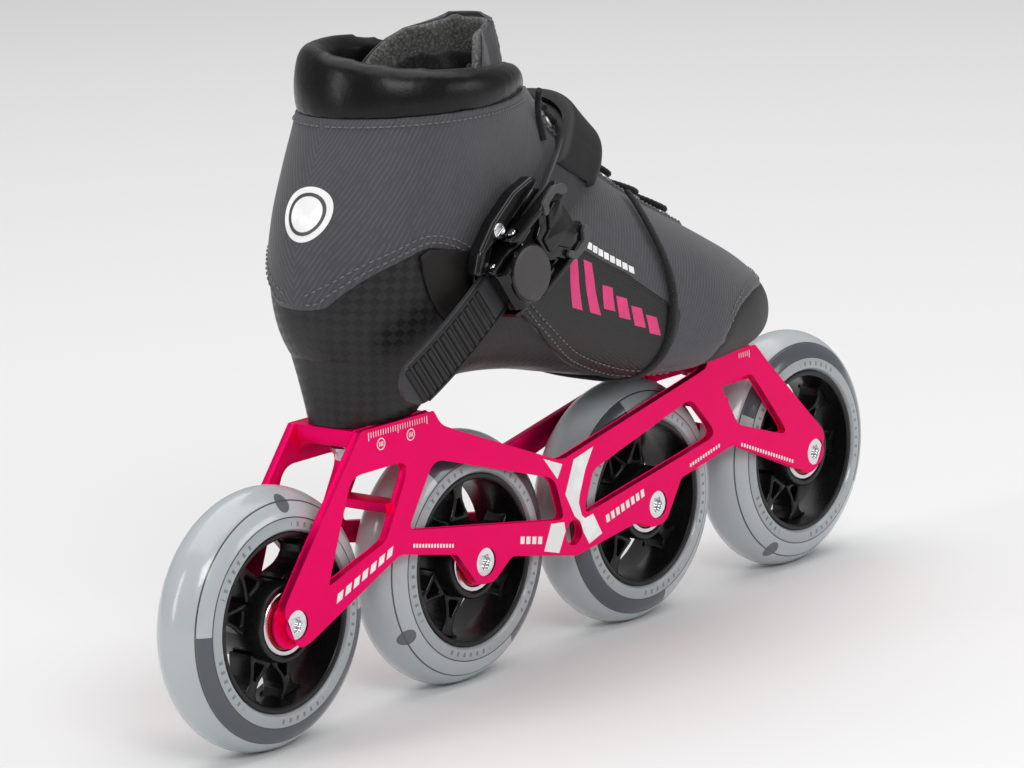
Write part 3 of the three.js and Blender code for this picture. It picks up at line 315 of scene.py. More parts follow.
def bright_steel(name, colour, roughness):
    f = Finish(name, colour, roughness, Metallic=1.0)
    rings = f.noise(0.5, 2, stretch=(1, 6, 1))
    f.rough(rings, roughness * 0.8, roughness * 1.4).relief(rings, 0.004)
    smudge = f.noise(6)
    return f.tint(step_up(f.tree, smudge, 0.62, 0.1), tuple(c * 0.82 for c in colour), 0.5).done()


def moulded(name, colour, roughness, grain_mm=0.3, depth=0.02, **constants):
    f = Finish(name, colour, roughness, **constants)
    grain = f.put(GRAIN, Vector=f.place, Size_mm=grain_mm)["Height"]
    f.rough(grain, roughness * 0.85, roughness * 1.2).relief(grain, depth)
    dust = f.noise(9, 3)
    return f.tint(step_up(f.tree, dust, 0.6, 0.12), tuple(c * 1.35 + 0.004 for c in colour), 0.5).done()


ANODISED = anodised()
STEEL = bright_steel("polished steel", (0.78, 0.78, 0.80), 0.16)
RACE_STEEL = bright_steel("bearing race steel", (0.70, 0.70, 0.71), 0.22)
ZINC = bright_steel("zinc plated steel", (0.55, 0.55, 0.57), 0.32)
RED_SHIELD = moulded("red bearing shield", (0.42, 0.012, 0.012), 0.38)
HUB_BLACK = moulded("black nylon", (0.005, 0.005, 0.0055), 0.28, 0.6, 0.012, Specular_IOR_Level=0.35)
GLOSS_BLACK = moulded("gloss black plastic", (0.004, 0.004, 0.0045), 0.14, 0.8, 0.006,
                      Specular_IOR_Level=0.45)
SATIN_GREY = moulded("satin grey plastic", (0.055, 0.055, 0.058), 0.42)
MATTE_GREY = moulded("matte grey pad", (0.052, 0.047, 0.049), 0.62, 0.35, 0.02)
STRAP_BLACK = moulded("strap plastic", (0.016, 0.0150, 0.0165), 0.45, 0.3, 0.02, Specular_IOR_Level=0.3)
STRAP_GREY = moulded("smooth strap face", (0.040, 0.038, 0.041), 0.40, Specular_IOR_Level=0.3)
RUBBER = moulded("matte rubber", (0.014, 0.0135, 0.014), 0.55, 0.4, 0.03, Specular_IOR_Level=0.3)
PRINT_WHITE = moulded("white print", (0.86, 0.86, 0.86), 0.5, 0.3, 0.004)
print("metal and plastic finishes:", len(bpy.data.materials))


# %% Urethane with its printed rings
def urethane():
    """Rings on the side of a tyre are told by the distance from its axle, in the attribute wheel_mm."""
    f = Finish("milky urethane", (0.45, 0.49, 0.51), 0.20, Subsurface_Weight=0.35, Subsurface_Scale=0.012,
               Coat_Weight=0.35, Coat_Roughness=0.08)
    tree = f.tree
    x, y, z = split(tree, f.attribute("wheel_mm"))
    radius = maths(tree, "SQRT",
                   maths(tree, "ADD", maths(tree, "MULTIPLY", x, x), maths(tree, "MULTIPLY", z, z)))
    turn = maths(tree, "ARCTAN2", z, x)
    inside = lambda lo, hi, soft=0.12: maths(tree, "MULTIPLY", step_up(tree, radius, lo, soft),
                                             maths(tree, "SUBTRACT", 1.0, step_up(tree, radius, hi, soft)))
    side = step_up(tree, maths(tree, "ABSOLUTE", y), 6.0, 0.4)
    half = step_up(tree, maths(tree, "SINE", maths(tree, "ADD", turn, 0.25)), 0.0, 0.002)
    ring = maths(tree, "MULTIPLY", inside(30.0, 35.3), side)
    band = maths(tree, "MULTIPLY", maths(tree, "MULTIPLY", inside(35.6, 40.6), side), half)
    grime = f.noise(7, 3)
    f.tint(step_up(tree, grime, 0.62, 0.1), (0.47, 0.50, 0.51), 0.25)
    f.tint(ring, (0.33, 0.36, 0.38), 0.75)
    f.tint(band, (0.075, 0.085, 0.10), 1.0)
    line = maths(tree, "MULTIPLY", maths(tree, "ADD", inside(40.6, 41.0), inside(35.25, 35.65)), side)
    f.tint(line, (0.02, 0.02, 0.022), 0.95)
    marks = step_up(tree, maths(tree, "SINE", maths(tree, "MULTIPLY", turn, 60.0)), 0.55, 0.1)
    gaps = step_up(tree, maths(tree, "SINE", maths(tree, "MULTIPLY", turn, 5.0)), -0.1, 0.02)
    dashes = maths(tree, "MULTIPLY", maths(tree, "MULTIPLY", marks, gaps),
                   maths(tree, "MULTIPLY", inside(32.4, 34.0), side))
    f.tint(dashes, (0.10, 0.11, 0.12), 0.7)
    away_x = maths(tree, "ADD", x, 9.7)
    away_z = maths(tree, "ADD", z, 38.8)
    apart = maths(tree, "SQRT", maths(tree, "ADD", maths(tree, "MULTIPLY", away_x, away_x),
                                      maths(tree, "MULTIPLY", away_z, away_z)))
    dot = maths(tree, "MULTIPLY", maths(tree, "SUBTRACT", 1.0, step_up(tree, apart, 2.9, 0.1)), side)
    f.tint(dot, (0.09, 0.095, 0.105), 0.9)
    grain = f.put(GRAIN, Vector=f.place, Size_mm=1.2)["Height"]
    return f.relief(line, -0.12).relief(grain, 0.012).done()


URETHANE = urethane()
# %% [markdown]
# ## Shapes: outlines, plates and turned parts
# A milled plate is an outline with holes and a small chamfer all round. A flat Blender curve makes that
# at once: it fills its outline, leaves the holes, has a thickness and bevels the rim. Turned parts are
# a profile swept round the axle. Both come back as points and faces in millimetres, so several shells
# can be gathered into one mesh.

# %% Outlines and shells
def rounded(corners, steps=7):
    """Points of an outline whose corners [x, z, radius] are rounded."""
    out = []
    n = len(corners)
    for i, corner in enumerate(corners):
        here = np.array(corner[:2], float)
        radius = corner[2] if len(corner) > 2 else 0
        before = np.array(corners[i - 1][:2], float) - here
        after = np.array(corners[(i + 1) % n][:2], float) - here
        lb, la = np.linalg.norm(before), np.linalg.norm(after)
        turn = math.acos(np.clip(before @ after / (lb * la), -1, 1))
        reach = min(radius / math.tan(turn / 2), lb * 0.48, la * 0.48)
        if reach < 0.05:
            out.append(here)
            continue
        start, end = here + before / lb * reach, here + after / la * reach
        for f in np.linspace(0, 1, steps):
            out.append((1 - f) ** 2 * start + 2 * f * (1 - f) * here + f * f * end)
    return np.array(out)


def ring(radius, centre=(0, 0), count=48):
    angles = np.linspace(0, 2 * math.pi, count, endpoint=False)
    return np.stack([centre[0] + radius * np.cos(angles), centre[1] + radius * np.sin(angles)], 1)


def plate(outline, holes=(), thickness=3.0, chamfer=0.35, rounds=1):
    """Closed shell of a flat part, lying in u and v, centred on w = 0."""
    curve = bpy.data.curves.new("outline", "CURVE")
    curve.dimensions, curve.fill_mode = "2D", "BOTH"
    curve.extrude, curve.bevel_depth = thickness / 2 - chamfer, chamfer
    curve.bevel_resolution, curve.offset = rounds, -chamfer
    for loop in (outline, *holes):
        spline = curve.splines.new("POLY")
        spline.points.add(len(loop) - 1)
        spline.points.foreach_set("co", [c for u, v in loop for c in (u, v, 0, 1)])
        spline.use_cyclic_u = True
    holder = bpy.data.objects.new("outline", curve)
    scene.collection.objects.link(holder)
    mesh = bpy.data.meshes.new_from_object(holder.evaluated_get(bpy.context.evaluated_depsgraph_get()))
    points = np.array([v.co for v in mesh.vertices], float)
    faces = [tuple(p.vertices) for p in mesh.polygons]
    bpy.data.objects.remove(holder)
    bpy.data.curves.remove(curve)
    bpy.data.meshes.remove(mesh)
    return points, faces


def to_side(shell, y=0.0):
    """Plate drawn in side view: u is x, v is z, and its middle stands at y."""
    points, faces = shell
    return np.stack([points[:, 0], y - points[:, 2], points[:, 1]], 1), faces


def to_flat(shell, z=0.0):
    points, faces = shell
    return points + (0, 0, z), faces


def turned(profile, segments=64, centre=(0, 0, 0), closed=True):
    """Shell swept round the y axis from [radius, y] points."""
    profile = np.asarray(profile, float)
    n = len(profile)
    angles = np.linspace(0, 2 * math.pi, segments, endpoint=False)
    points = np.concatenate([np.stack([profile[:, 0] * math.cos(a), profile[:, 1],
                                       profile[:, 0] * math.sin(a)], 1) for a in angles]) + centre
    faces = []
    for i in range(segments):
        j = (i + 1) % segments
        for k in range(n if closed else n - 1):
            m = (k + 1) % n
            faces.append((i * n + k, i * n + m, j * n + m, j * n + k))
    return points, faces


def gathered(shells):
    points, faces, start = [], [], 0
    for p, f in shells:
        points.append(p)
        faces += [tuple(i + start for i in face) for face in f]
        start += len(p)
    return np.concatenate(points), faces


# %% Pieces
def shade_crisp(mesh, angle=32):
    mesh.polygons.foreach_set("use_smooth", [True] * len(mesh.polygons))
    mesh.set_sharp_from_angle(angle=math.radians(angle))


def weld(mesh, gap=2e-6):
    work = bmesh.new()
    work.from_mesh(mesh)
    bmesh.ops.remove_doubles(work, verts=work.verts, dist=gap)
    bmesh.ops.dissolve_degenerate(work, edges=work.edges, dist=gap)
    bmesh.ops.recalc_face_normals(work, faces=work.faces)
    work.to_mesh(mesh)
    work.free()


def piece(name, shell, material, body, slot, *nodes, crisp=32, closed=True):
    """Mesh object from a shell in millimetres. It rides on a body and stands for CAD nodes."""
    points, faces = shell
    mesh = bpy.data.meshes.new(name)
    mesh.from_pydata(placed(points).tolist(), [], faces)
    mesh.materials.append(material)
    if closed:
        weld(mesh)
    shade_crisp(mesh, crisp)
    made = bpy.data.objects.new(name, mesh)
    scene.collection.objects.link(made)
    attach(made, body)
    if nodes:
        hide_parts(*nodes)
    return made


def evaluated_mesh(made):
    """Plain mesh of an object with its modifiers, which are then taken off."""
    mesh = bpy.data.meshes.new_from_object(made.evaluated_get(bpy.context.evaluated_depsgraph_get()))
    made.modifiers.clear()
    old, made.data = made.data, mesh
    if old.users == 0:
        bpy.data.meshes.remove(old)
    return mesh


# %% [markdown]
# ## One tree for everything that repeats
# Stitches, tick marks, spokes, ribs and eyelets are each one small shape repeated along a line. The
# points carry two directions, along the line and out of the surface, and Geometry Nodes put the shape on
# every point. A little random turn, from a fixed seed, keeps a hand-sewn line alive.

# %% The repeating tree
def repeat_tree():
    tree = bpy.data.node_groups.new("repeat on points", "GeometryNodeTree")
    face = tree.interface
    face.new_socket(name="Geometry", in_out="INPUT", socket_type="NodeSocketGeometry")
    face.new_socket(name="Shape", in_out="INPUT", socket_type="NodeSocketObject")
    face.new_socket(name="Size", in_out="INPUT", socket_type="NodeSocketVector")
    face.new_socket(name="Turn Jitter", in_out="INPUT", socket_type="NodeSocketFloat")
    face.new_socket(name="Material", in_out="INPUT", socket_type="NodeSocketMaterial")
    face.new_socket(name="Seed", in_out="INPUT", socket_type="NodeSocketInt")
    face.new_socket(name="Geometry", in_out="OUTPUT", socket_type="NodeSocketGeometry")
    add = tree.nodes.new
    link = tree.links.new
    start, end = add("NodeGroupInput"), add("NodeGroupOutput")

    def stored(label):
        node = add("GeometryNodeInputNamedAttribute")
        node.data_type = "FLOAT_VECTOR"
        node.inputs["Name"].default_value = label
        return node.outputs["Attribute"]

    turn = add("FunctionNodeAxesToRotation")
    turn.primary_axis, turn.secondary_axis = "Z", "X"
    link(stored("out"), turn.inputs["Primary Axis"])
    link(stored("along"), turn.inputs["Secondary Axis"])
    jitter = add("FunctionNodeRandomValue")
    jitter.data_type = "FLOAT"
    minus = add("ShaderNodeMath")
    minus.operation = "MULTIPLY"
    minus.inputs[1].default_value = -1
    link(start.outputs["Turn Jitter"], minus.inputs[0])
    link(minus.outputs[0], jitter.inputs[2])
    link(start.outputs["Turn Jitter"], jitter.inputs[3])
    link(start.outputs["Seed"], jitter.inputs["Seed"])
    spin = add("ShaderNodeCombineXYZ")
    link(jitter.outputs[1], spin.inputs["Z"])
    to_turn = add("FunctionNodeEulerToRotation")
    link(spin.outputs[0], to_turn.inputs[0])
    both = add("FunctionNodeRotateRotation")
    both.rotation_space = "LOCAL"
    link(turn.outputs[0], both.inputs["Rotation"])
    link(to_turn.outputs[0], both.inputs["Rotate By"])
    shape = add("GeometryNodeObjectInfo")
    link(start.outputs["Shape"], shape.inputs["Object"])
    copies = add("GeometryNodeInstanceOnPoints")
    link(start.outputs["Geometry"], copies.inputs["Points"])
    link(shape.outputs["Geometry"], copies.inputs["Instance"])
    link(both.outputs["Rotation"], copies.inputs["Rotation"])
    link(start.outputs["Size"], copies.inputs["Scale"])
    real = add("GeometryNodeRealizeInstances")
    link(copies.outputs[0], real.inputs[0])
    paint = add("GeometryNodeSetMaterial")
    link(real.outputs[0], paint.inputs["Geometry"])
    link(start.outputs["Material"], paint.inputs["Material"])
    link(paint.outputs[0], end.inputs[0])
    return tree


REPEAT = repeat_tree()


def shape_of(name, shell):
    """Small shape in millimetres at the origin, kept out of the picture, for the repeating tree."""
    points, faces = shell
    mesh = bpy.data.meshes.new(name)
    mesh.from_pydata(points.tolist(), [], faces)
    weld(mesh, 1e-4)
    return bpy.data.objects.new(name, mesh)


def repeated(name, spots, shape, material, body, size=(1, 1, 1), jitter=0.0, crisp=40, seed=4):
    """spots: rows of (place, along, out) in millimetres. One piece of a shape on every spot."""
    mesh = bpy.data.meshes.new(name)
    mesh.from_pydata(placed([s[0] for s in spots]).tolist(), [], [])
    for label, k in (("along", 1), ("out", 2)):
        data = mesh.attributes.new(label, "FLOAT_VECTOR", "POINT").data
        data.foreach_set("vector", [c for s in spots for c in s[k]])
    made = bpy.data.objects.new(name, mesh)
    scene.collection.objects.link(made)
    modifier = made.modifiers.new("repeat", "NODES")
    modifier.node_group = REPEAT
    values = {"Shape": shape, "Size": [s * MM for s in size], "Turn Jitter": jitter, "Material": material,
              "Seed": seed}
    for item in REPEAT.interface.items_tree:
        if item.in_out == "INPUT" and item.name in values:
            modifier[item.identifier] = values[item.name]
    mesh = evaluated_mesh(made)
    shade_crisp(mesh, crisp)
    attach(made, body)
    print(name, "has", len(spots), "copies and", len(mesh.polygons), "faces")
    return made


def capsule(length, width, height, rings=4, sides=6):
    """A stitch: a round-ended thread that bows out of the surface."""
    profile = [(math.sin(t), -math.cos(t)) for t in np.linspace(0, math.pi, rings + 1)]
    points, faces = turned(profile, sides, closed=False)
    out = np.stack([points[:, 1] * length / 2, points[:, 0] * width / 2, points[:, 2] * height / 2], 1)
    out[:, 2] += height * 0.3 * (1 - (2 * out[:, 0] / length) ** 2)
    return out, faces


def bar(length, width, height, chamfer=0.0):
    shell = plate(rounded([(-length / 2, -width / 2), (length / 2, -width / 2), (length / 2, width / 2),
                           (-length / 2, width / 2)]), (), height, chamfer or height * 0.2, 0)
    return shell


STITCH = shape_of("stitch shape", capsule(2.0, 0.62, 0.55))
UNIT_BAR = shape_of("bar shape", bar(1, 1, 1, 0.1))

# %% [markdown]
# ## The frame
# The real frame is milled from one block: two side plates, a platform under the heel and one under the
# ball of the foot, thin bridges between the plates, and a boss at every axle. It could be cut by
# booleans, but plates drawn as outlines keep even chamfers and clean windows, which catch the light. The
# outline follows the same rules as the CAD frame, so its sizes hang on axles and platform ends. Its decks
# stand 2.08 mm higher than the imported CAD's, as the boot does.

# %% Frame sizes
PITCH = 97.33
AXLE_Z = 45.0
AXLES = [i * PITCH for i in range(4)]
PLATE_OUTER, PLATE_THICK = 16.7, 3.4
PLATE_INNER = PLATE_OUTER - PLATE_THICK
REAR_ENDS, REAR_TOP = (36.2, 73.1), 103.1
FRONT_ENDS, FRONT_TOP = (228.0, 256.0), 92.7
REAR_BOLT, FRONT_BOLT = 48.0, 243.0
MIDDLE = (AXLES[1] + AXLES[2]) / 2
KNEE_1 = (AXLES[0] + AXLES[1]) / 2
KNEE_2 = (AXLES[2] + AXLES[3]) / 2


def frame_outline():
    a0, a1, a2, a3 = AXLES
    return rounded([
        (a0 - 6.3, AXLE_Z + 6, 6), (REAR_ENDS[0], REAR_TOP, 1), (REAR_ENDS[1], REAR_TOP, 1),
        (REAR_ENDS[1] + 3.6, REAR_TOP - 5.6, 9), (REAR_ENDS[1] + 12, REAR_TOP - 9.2, 6),
        (MIDDLE - 5.6, AXLE_Z + 26.9, 14), (FRONT_ENDS[0] - 8, FRONT_TOP - 4.8, 6),
        (FRONT_ENDS[0] - 2, FRONT_TOP - 3.4, 4), (FRONT_ENDS[0], FRONT_TOP, 1),
        (FRONT_ENDS[1], FRONT_TOP, 2),
        (FRONT_ENDS[1] + 7, FRONT_TOP - 7.5, 6), (a3 + 6.3, AXLE_Z + 5.8, 6), (a3, AXLE_Z - 7.6, 7),
        (a3 - 12, AXLE_Z - 3.6, 4), (KNEE_2 - 2, AXLE_Z + 13.4, 8), (a2 + 14, AXLE_Z + 7.4, 5),
        (a2 + 4, AXLE_Z - 7.2, 7), (a2 - 4, AXLE_Z - 7.2, 7), (a2 - 12.8, AXLE_Z - 3.6, 5),
        (MIDDLE + 1, AXLE_Z - 8.2, 4), (a1 + 14, AXLE_Z - 0.5, 5), (a1 + 4, AXLE_Z - 7.2, 7),
        (a1 - 4, AXLE_Z - 7.2, 7), (a1 - 15, AXLE_Z + 6.4, 5), (KNEE_1 + 4, AXLE_Z + 12.9, 8),
        (a0 + 6.2, AXLE_Z - 6.8, 6), (a0, AXLE_Z - 8, 6)])


def frame_windows():
    a0, _, _, a3 = AXLES
    return [rounded(w) for w in (
        [(a0 + 15.2, AXLE_Z + 8.8, 1.5), (REAR_ENDS[0] - 6.5, REAR_TOP - 13.6, 8),
         (REAR_ENDS[1] - 11.8, REAR_TOP - 13.6, 5), (KNEE_1 - 2.5, AXLE_Z + 18.2, 7)],
        [(KNEE_1 + 8, AXLE_Z + 19.6, 3), (REAR_ENDS[1] - 1, REAR_TOP - 15.7, 8),
         (MIDDLE - 9.3, AXLE_Z + 22.2, 8), (MIDDLE - 4.3, AXLE_Z + 5.2, 3)],
        [(MIDDLE + 4.8, AXLE_Z + 4.6, 3), (MIDDLE + 11.8, AXLE_Z + 20.8, 6),
         (FRONT_ENDS[0] - 11.6, FRONT_TOP - 12, 7), (KNEE_2 - 11, AXLE_Z + 18.4, 4)],
        [(KNEE_2 + 0.5, AXLE_Z + 19.6, 8), (FRONT_ENDS[0] + 5, FRONT_TOP - 9.8, 3),
         (FRONT_ENDS[1] - 2.2, FRONT_TOP - 9.8, 5), (a3 - 14.5, AXLE_Z + 8.6, 3)])]


# %% Frame pieces
HEAD_HOLE, BORE = 5.5, 4.3
BOSS_RADIUS, BOSS_FACE = 8.4, 12.3
SPARE_HOLE = 5.0


def side_plate(y_middle):
    holes = frame_windows() + [ring(HEAD_HOLE if y_middle < 0 else BORE, (x, AXLE_Z), 40) for x in AXLES]
    holes.append(ring(SPARE_HOLE, (MIDDLE, AXLE_Z), 40))
    return to_side(plate(frame_outline(), holes, PLATE_THICK, 0.45, 1), y_middle)


def slot_loop(x, half_x, half_y, radius=3.4):
    return rounded([(x - half_x - radius, -half_y - radius, radius),
                    (x + half_x + radius, -half_y - radius, radius),
                    (x + half_x + radius, half_y + radius, radius),
                    (x - half_x - radius, half_y + radius, radius)], 9)


def platform_shells(ends, top, bolt_x, along):
    """Deck with its bolt slot, a rib under each end, and coved corners where it meets the plates."""
    y = PLATE_INNER + 0.6
    deck = plate(rounded([(ends[0], -y, 1), (ends[1], -y, 1), (ends[1], y, 1), (ends[0], y, 1)]),
                 [slot_loop(bolt_x, *((5, 0) if along else (0, 5)))], 6, 0.4, 1)
    shells = [to_flat(deck, top - 3)]
    cove = [(PLATE_INNER + 0.6, 0), (PLATE_INNER + 0.6, -7)]
    cove += [(PLATE_INNER - 7 * (1 - math.cos(t)), -7 * (1 - math.sin(t))) for t in np.linspace(0,
            math.pi / 2, 9)]
    for side in (-1, 1):
        loop = np.array([(side * u, v) for u, v in cove])
        shell = plate(loop, (), ends[1] - ends[0] - 1, 0.1, 0)
        points, faces = shell
        turned_points = np.stack([points[:, 2] + sum(ends) / 2, points[:, 0], points[:, 1] + top - 5.6], 1)
        shells.append((turned_points, faces))
    return shells


def bridge_shell(x):
    y = PLATE_INNER + 0.5
    flat = plate(rounded([(x - 4, -y), (x + 4, -y), (x + 4, y), (x - 4, y)]), (), 3.5, 0.5, 1)
    return to_flat(flat, AXLE_Z + 28.75)


def boss_shell(x, side):
    y0 = BOSS_FACE
    return turned([(BORE, side * y0), (BOSS_RADIUS - 0.5, side * y0), (BOSS_RADIUS, side * (y0 + 0.5)),
                   (BOSS_RADIUS, side * (PLATE_INNER + 0.4)), (BORE, side * (PLATE_INNER + 0.4))], 48,
                  (x, 0, AXLE_Z))


middle_y = (PLATE_INNER + PLATE_OUTER) / 2
frame_shells = [side_plate(-middle_y), side_plate(middle_y), bridge_shell(KNEE_1 + 5),
                bridge_shell(KNEE_2 - 5)]
frame_shells += platform_shells(REAR_ENDS, REAR_TOP, REAR_BOLT, False)
frame_shells += platform_shells(FRONT_ENDS, FRONT_TOP, FRONT_BOLT, True)
frame_shells += [boss_shell(x, side) for x in AXLES for side in (-1, 1)]
frame_piece = piece("milled_frame", gathered(frame_shells), ANODISED, "skate", "anodised_frame", "frame")
print("frame faces:", len(frame_piece.data.polygons))

# %% [markdown]
# ## Print on the frame
# White print marks the bolt positions with a tick scale and sets off the middle of the frame with broad
# slanted stripes. Plain bars stand where a maker would put words. Print is a film a few hundredths of a
# millimetre thick, made as thin plates that lie on the face.

# %% Stripes and scales
PRINT_FILM = 0.06
PRINT_Y = -(PLATE_OUTER + PRINT_FILM / 2 + 0.005)


def print_shape(corners):
    return to_side(plate(rounded(corners, 4), (), PRINT_FILM, 0.01, 0), PRINT_Y)


def leaning_bar(start, end, height, lean=0.0):
    """Printed bar from one point to another, with slanted ends."""
    (x0, z0), (x1, z1) = start, end
    return [(x0, z0), (x1, z1), (x1 + lean, z1 + height), (x0 + lean, z0 + height)]


stripe_shapes = [
    [(130.6, 75.0), (140.9, 71.0), (137.9, 66.2)],
    [(147.3, 71.4), (158.6, 73.9), (153.6, 66.6), (149.9, 58.0), (149.2, 55.2), (150.6, 50.4), (152.4, 48.9),
     (157.0, 49.6),
     (161.7, 41.4), (154.2, 39.2), (151.2, 44.0), (149.6, 48.4), (146.6, 50.9), (141.9, 59.8)],
    [(133.4, 50.9), (140.6, 50.0), (141.2, 46.6), (137.1, 39.5), (128.9, 41.9)],
]
word_bars = []
for k, (x, z) in enumerate(zip(np.linspace(19.5, 45.5, 7), np.linspace(47.9, 57.2, 7))):
    word_bars.append(leaning_bar((x, z), (x + 2.9, z + 1.0), 3.1, 0.9))
for k, x in enumerate(np.linspace(116, 125.6, 4)):
    word_bars.append(leaning_bar((x, 50.4 - (x - 116) * 0.22 - 3.0),
                                 (x + 2.2, 49.9 - (x - 116) * 0.22 - 3.0), 2.6, 0.4))
for k, x in enumerate(np.linspace(164.6, 185, 8)):
    word_bars.append(leaning_bar((x, 44.6 + (x - 164.6) * 0.235), (x + 1.9, 45.0 + (x - 164.6) * 0.235), 2.8,
                                 -0.5))
piece("frame_print", gathered([print_shape(c) for c in stripe_shapes + word_bars]), PRINT_WHITE,
                    "skate", "anodised_frame")

ticks = []
for k, x in enumerate(np.arange(39.6, 69.8, 1.25)):
    long = k % 12 == 0
    ticks.append((x, 102.3, 2.6 if long else 1.9))
for k, x in enumerate(np.arange(246.0, 253.0, 1.25)):
    ticks.append((x, 91.6, 2.6 if k == 5 else 1.9))
small_print = [(x, z, 1.2) for x, z in zip(np.linspace(60, 80, 14), np.linspace(59.6, 55.2, 14))]
small_print += [(x, z, 1.2) for x, z in zip(np.linspace(246, 277, 20), np.linspace(57.6, 45.0, 20))]
small_print += [(x, z, 1.2) for x, z in zip(np.linspace(214.6, 232, 12), np.linspace(56.2, 60.0, 12))]
spots = [((x, PRINT_Y, z - h / 2), (0, 0, 1), (0, -1, 0)) for x, z, h in ticks if h < 2.2]
long_spots = [((x, PRINT_Y, z - h / 2), (0, 0, 1), (0, -1, 0)) for x, z, h in ticks if h > 2.2]
fine_spots = [((x, PRINT_Y, z - h / 2), (0, 0, 1), (0, -1, 0)) for x, z, h in small_print]
repeated("tick_marks", spots, UNIT_BAR, PRINT_WHITE, "skate", (1.9, 0.3, PRINT_FILM))
repeated("long_tick_marks", long_spots, UNIT_BAR, PRINT_WHITE, "skate",
         (2.8, 0.35, PRINT_FILM))
repeated("fine_print_bars", fine_spots, UNIT_BAR, PRINT_WHITE, "skate",
         (1.3, 0.9, PRINT_FILM))
circle_shells = [to_side(plate(ring(2.1, (x, z), 32), [ring(1.75, (x, z), 32)], PRINT_FILM, 0.01, 0),
                         PRINT_Y)
                 for x, z in ((45.7, 97.4), (61.0, 97.6))]
circle_shells += [print_shape([(x - 1.1 + 0.8 * k, z - 0.8), (x - 0.7 + 0.8 * k, z - 0.8),
        (x - 0.7 + 0.8 * k, z + 0.8),
                               (x - 1.1 + 0.8 * k, z + 0.8)]) for x,
                               z in ((45.9, 97.4), (61.2, 97.6)) for k in range(3)]
piece("position_marks", gathered(circle_shells), PRINT_WHITE, "skate", "anodised_frame")

# %% [markdown]
# ## Wheels
# A wheel is a urethane tyre cast round a black nylon hub. The hub has a rim, six forked spokes in three
# pairs and a sleeve that holds two bearings with a spacer between them. The tyre and the sleeve are
# turned parts. A spoke is drawn once, and the repeating tree sets it at six angles.

# %% Tyre and hub profiles
TYRE_HALF, WHEEL_RADIUS, CROWN = 12.0, 45.0, 13.5
RIM_RADIUS, RIM_WALL, RIM_HALF = 30.4, 3.0, 11.2
WHEEL_TURNS = (24, 110, 100, 14)
PRINT_TURNS = (189, -46, 119, -16)
SPOKE_ANGLES = [pair * 120 + side * 21.5 for pair in range(3) for side in (-1, 1)]


def tyre_profile():
    """Ellipse over the crown, with a fine moulded line on each side where the clear layer starts."""
    inner = RIM_RADIUS + 0.3
    base = WHEEL_RADIUS - CROWN
    crown = [(base + CROWN * math.cos(t), TYRE_HALF * math.sin(t)) for t in np.linspace(-math.pi / 2,
            math.pi / 2, 65)]
    low_side = [(inner, -RIM_HALF + 0.2), (inner + 0.5, -RIM_HALF - 0.35)]
    return low_side + crown + [(inner + 0.5, RIM_HALF + 0.35), (inner, RIM_HALF - 0.2)]


def hub_shells():
    r = RIM_RADIUS
    inner = r - RIM_WALL
    rim = [(r, -RIM_HALF), (r, RIM_HALF), (r - 0.8, RIM_HALF + 0.15), (inner + 1.6, RIM_HALF),
           (inner + 1.1, RIM_HALF - 0.5),
           (inner + 0.7, 6), (inner + 0.1, 1), (inner + 0.1, -1), (inner + 0.7, -6),
           (inner + 1.1, -RIM_HALF + 0.5),
           (inner + 1.6, -RIM_HALF), (r - 0.8, -RIM_HALF - 0.15)]
    sleeve = [(13.6, -11.4), (13.6, 11.4), (13.1, 12.0), (11.9, 12.0), (11.35, 11.5), (11.35, 4.7), (7, 4.7),
              (7, -4.7), (11.35, -4.7), (11.35, -11.5), (11.9, -12.0), (13.1, -12.0)]
    return [turned(rim, 128), turned(sleeve, 72)]


def spoke_shell():
    """Forked leg: wide and split at the sleeve, narrow at two thirds, flared where it meets the rim."""
    half = [(13.0, 5.6), (15.5, 4.7), (18, 3.4), (20.5, 2.45), (23, 2.2), (25.2, 2.6), (27.0, 4.3),
            (27.9, 6.0)]
    outline = [(u, -v) for u, v in half] + [(u, v) for u, v in reversed(half)]
    hole = rounded([(15.2, -2.7, 0.7), (15.2, 2.7, 0.7), (20.8, 0.55, 0.5), (20.8, -0.55, 0.5)], 5)
    smooth = rounded([(u, v, 1.2) for u, v in outline], 4)
    points, faces = plate(smooth, [hole], 11.0, 1.0, 3)
    narrow = 1 - 0.12 * np.clip((points[:, 0] - 13) / 14, 0, 1)
    points[:, 2] *= narrow
    return points, faces


SPOKE = shape_of("spoke shape", spoke_shell())

# %% Build the four wheels
def turned_about(points, x, degrees):
    """Turns points of a wheel about its axle and sets it on the axle at x."""
    a = math.radians(degrees)
    out = points.copy()
    out[:, 0] = math.cos(a) * points[:, 0] - math.sin(a) * points[:, 2] + x
    out[:, 2] = math.sin(a) * points[:, 0] + math.cos(a) * points[:, 2] + AXLE_Z
    return out


def store_wheel_mm(made, x, degrees):
    """Keeps each point's place on its own wheel, in millimetres, for patterns that go round the axle."""
    mesh = made.data
    co = np.array([v.co for v in mesh.vertices], float)
    local = (co - DATUM) / MM - (x, 0, AXLE_Z)
    a = math.radians(-degrees)
    out = local.copy()
    out[:, 0] = math.cos(a) * local[:, 0] - math.sin(a) * local[:, 2]
    out[:, 2] = math.sin(a) * local[:, 0] + math.cos(a) * local[:, 2]
    mesh.attributes.new("wheel_mm", "FLOAT_VECTOR", "POINT").data.foreach_set("vector", out.ravel())


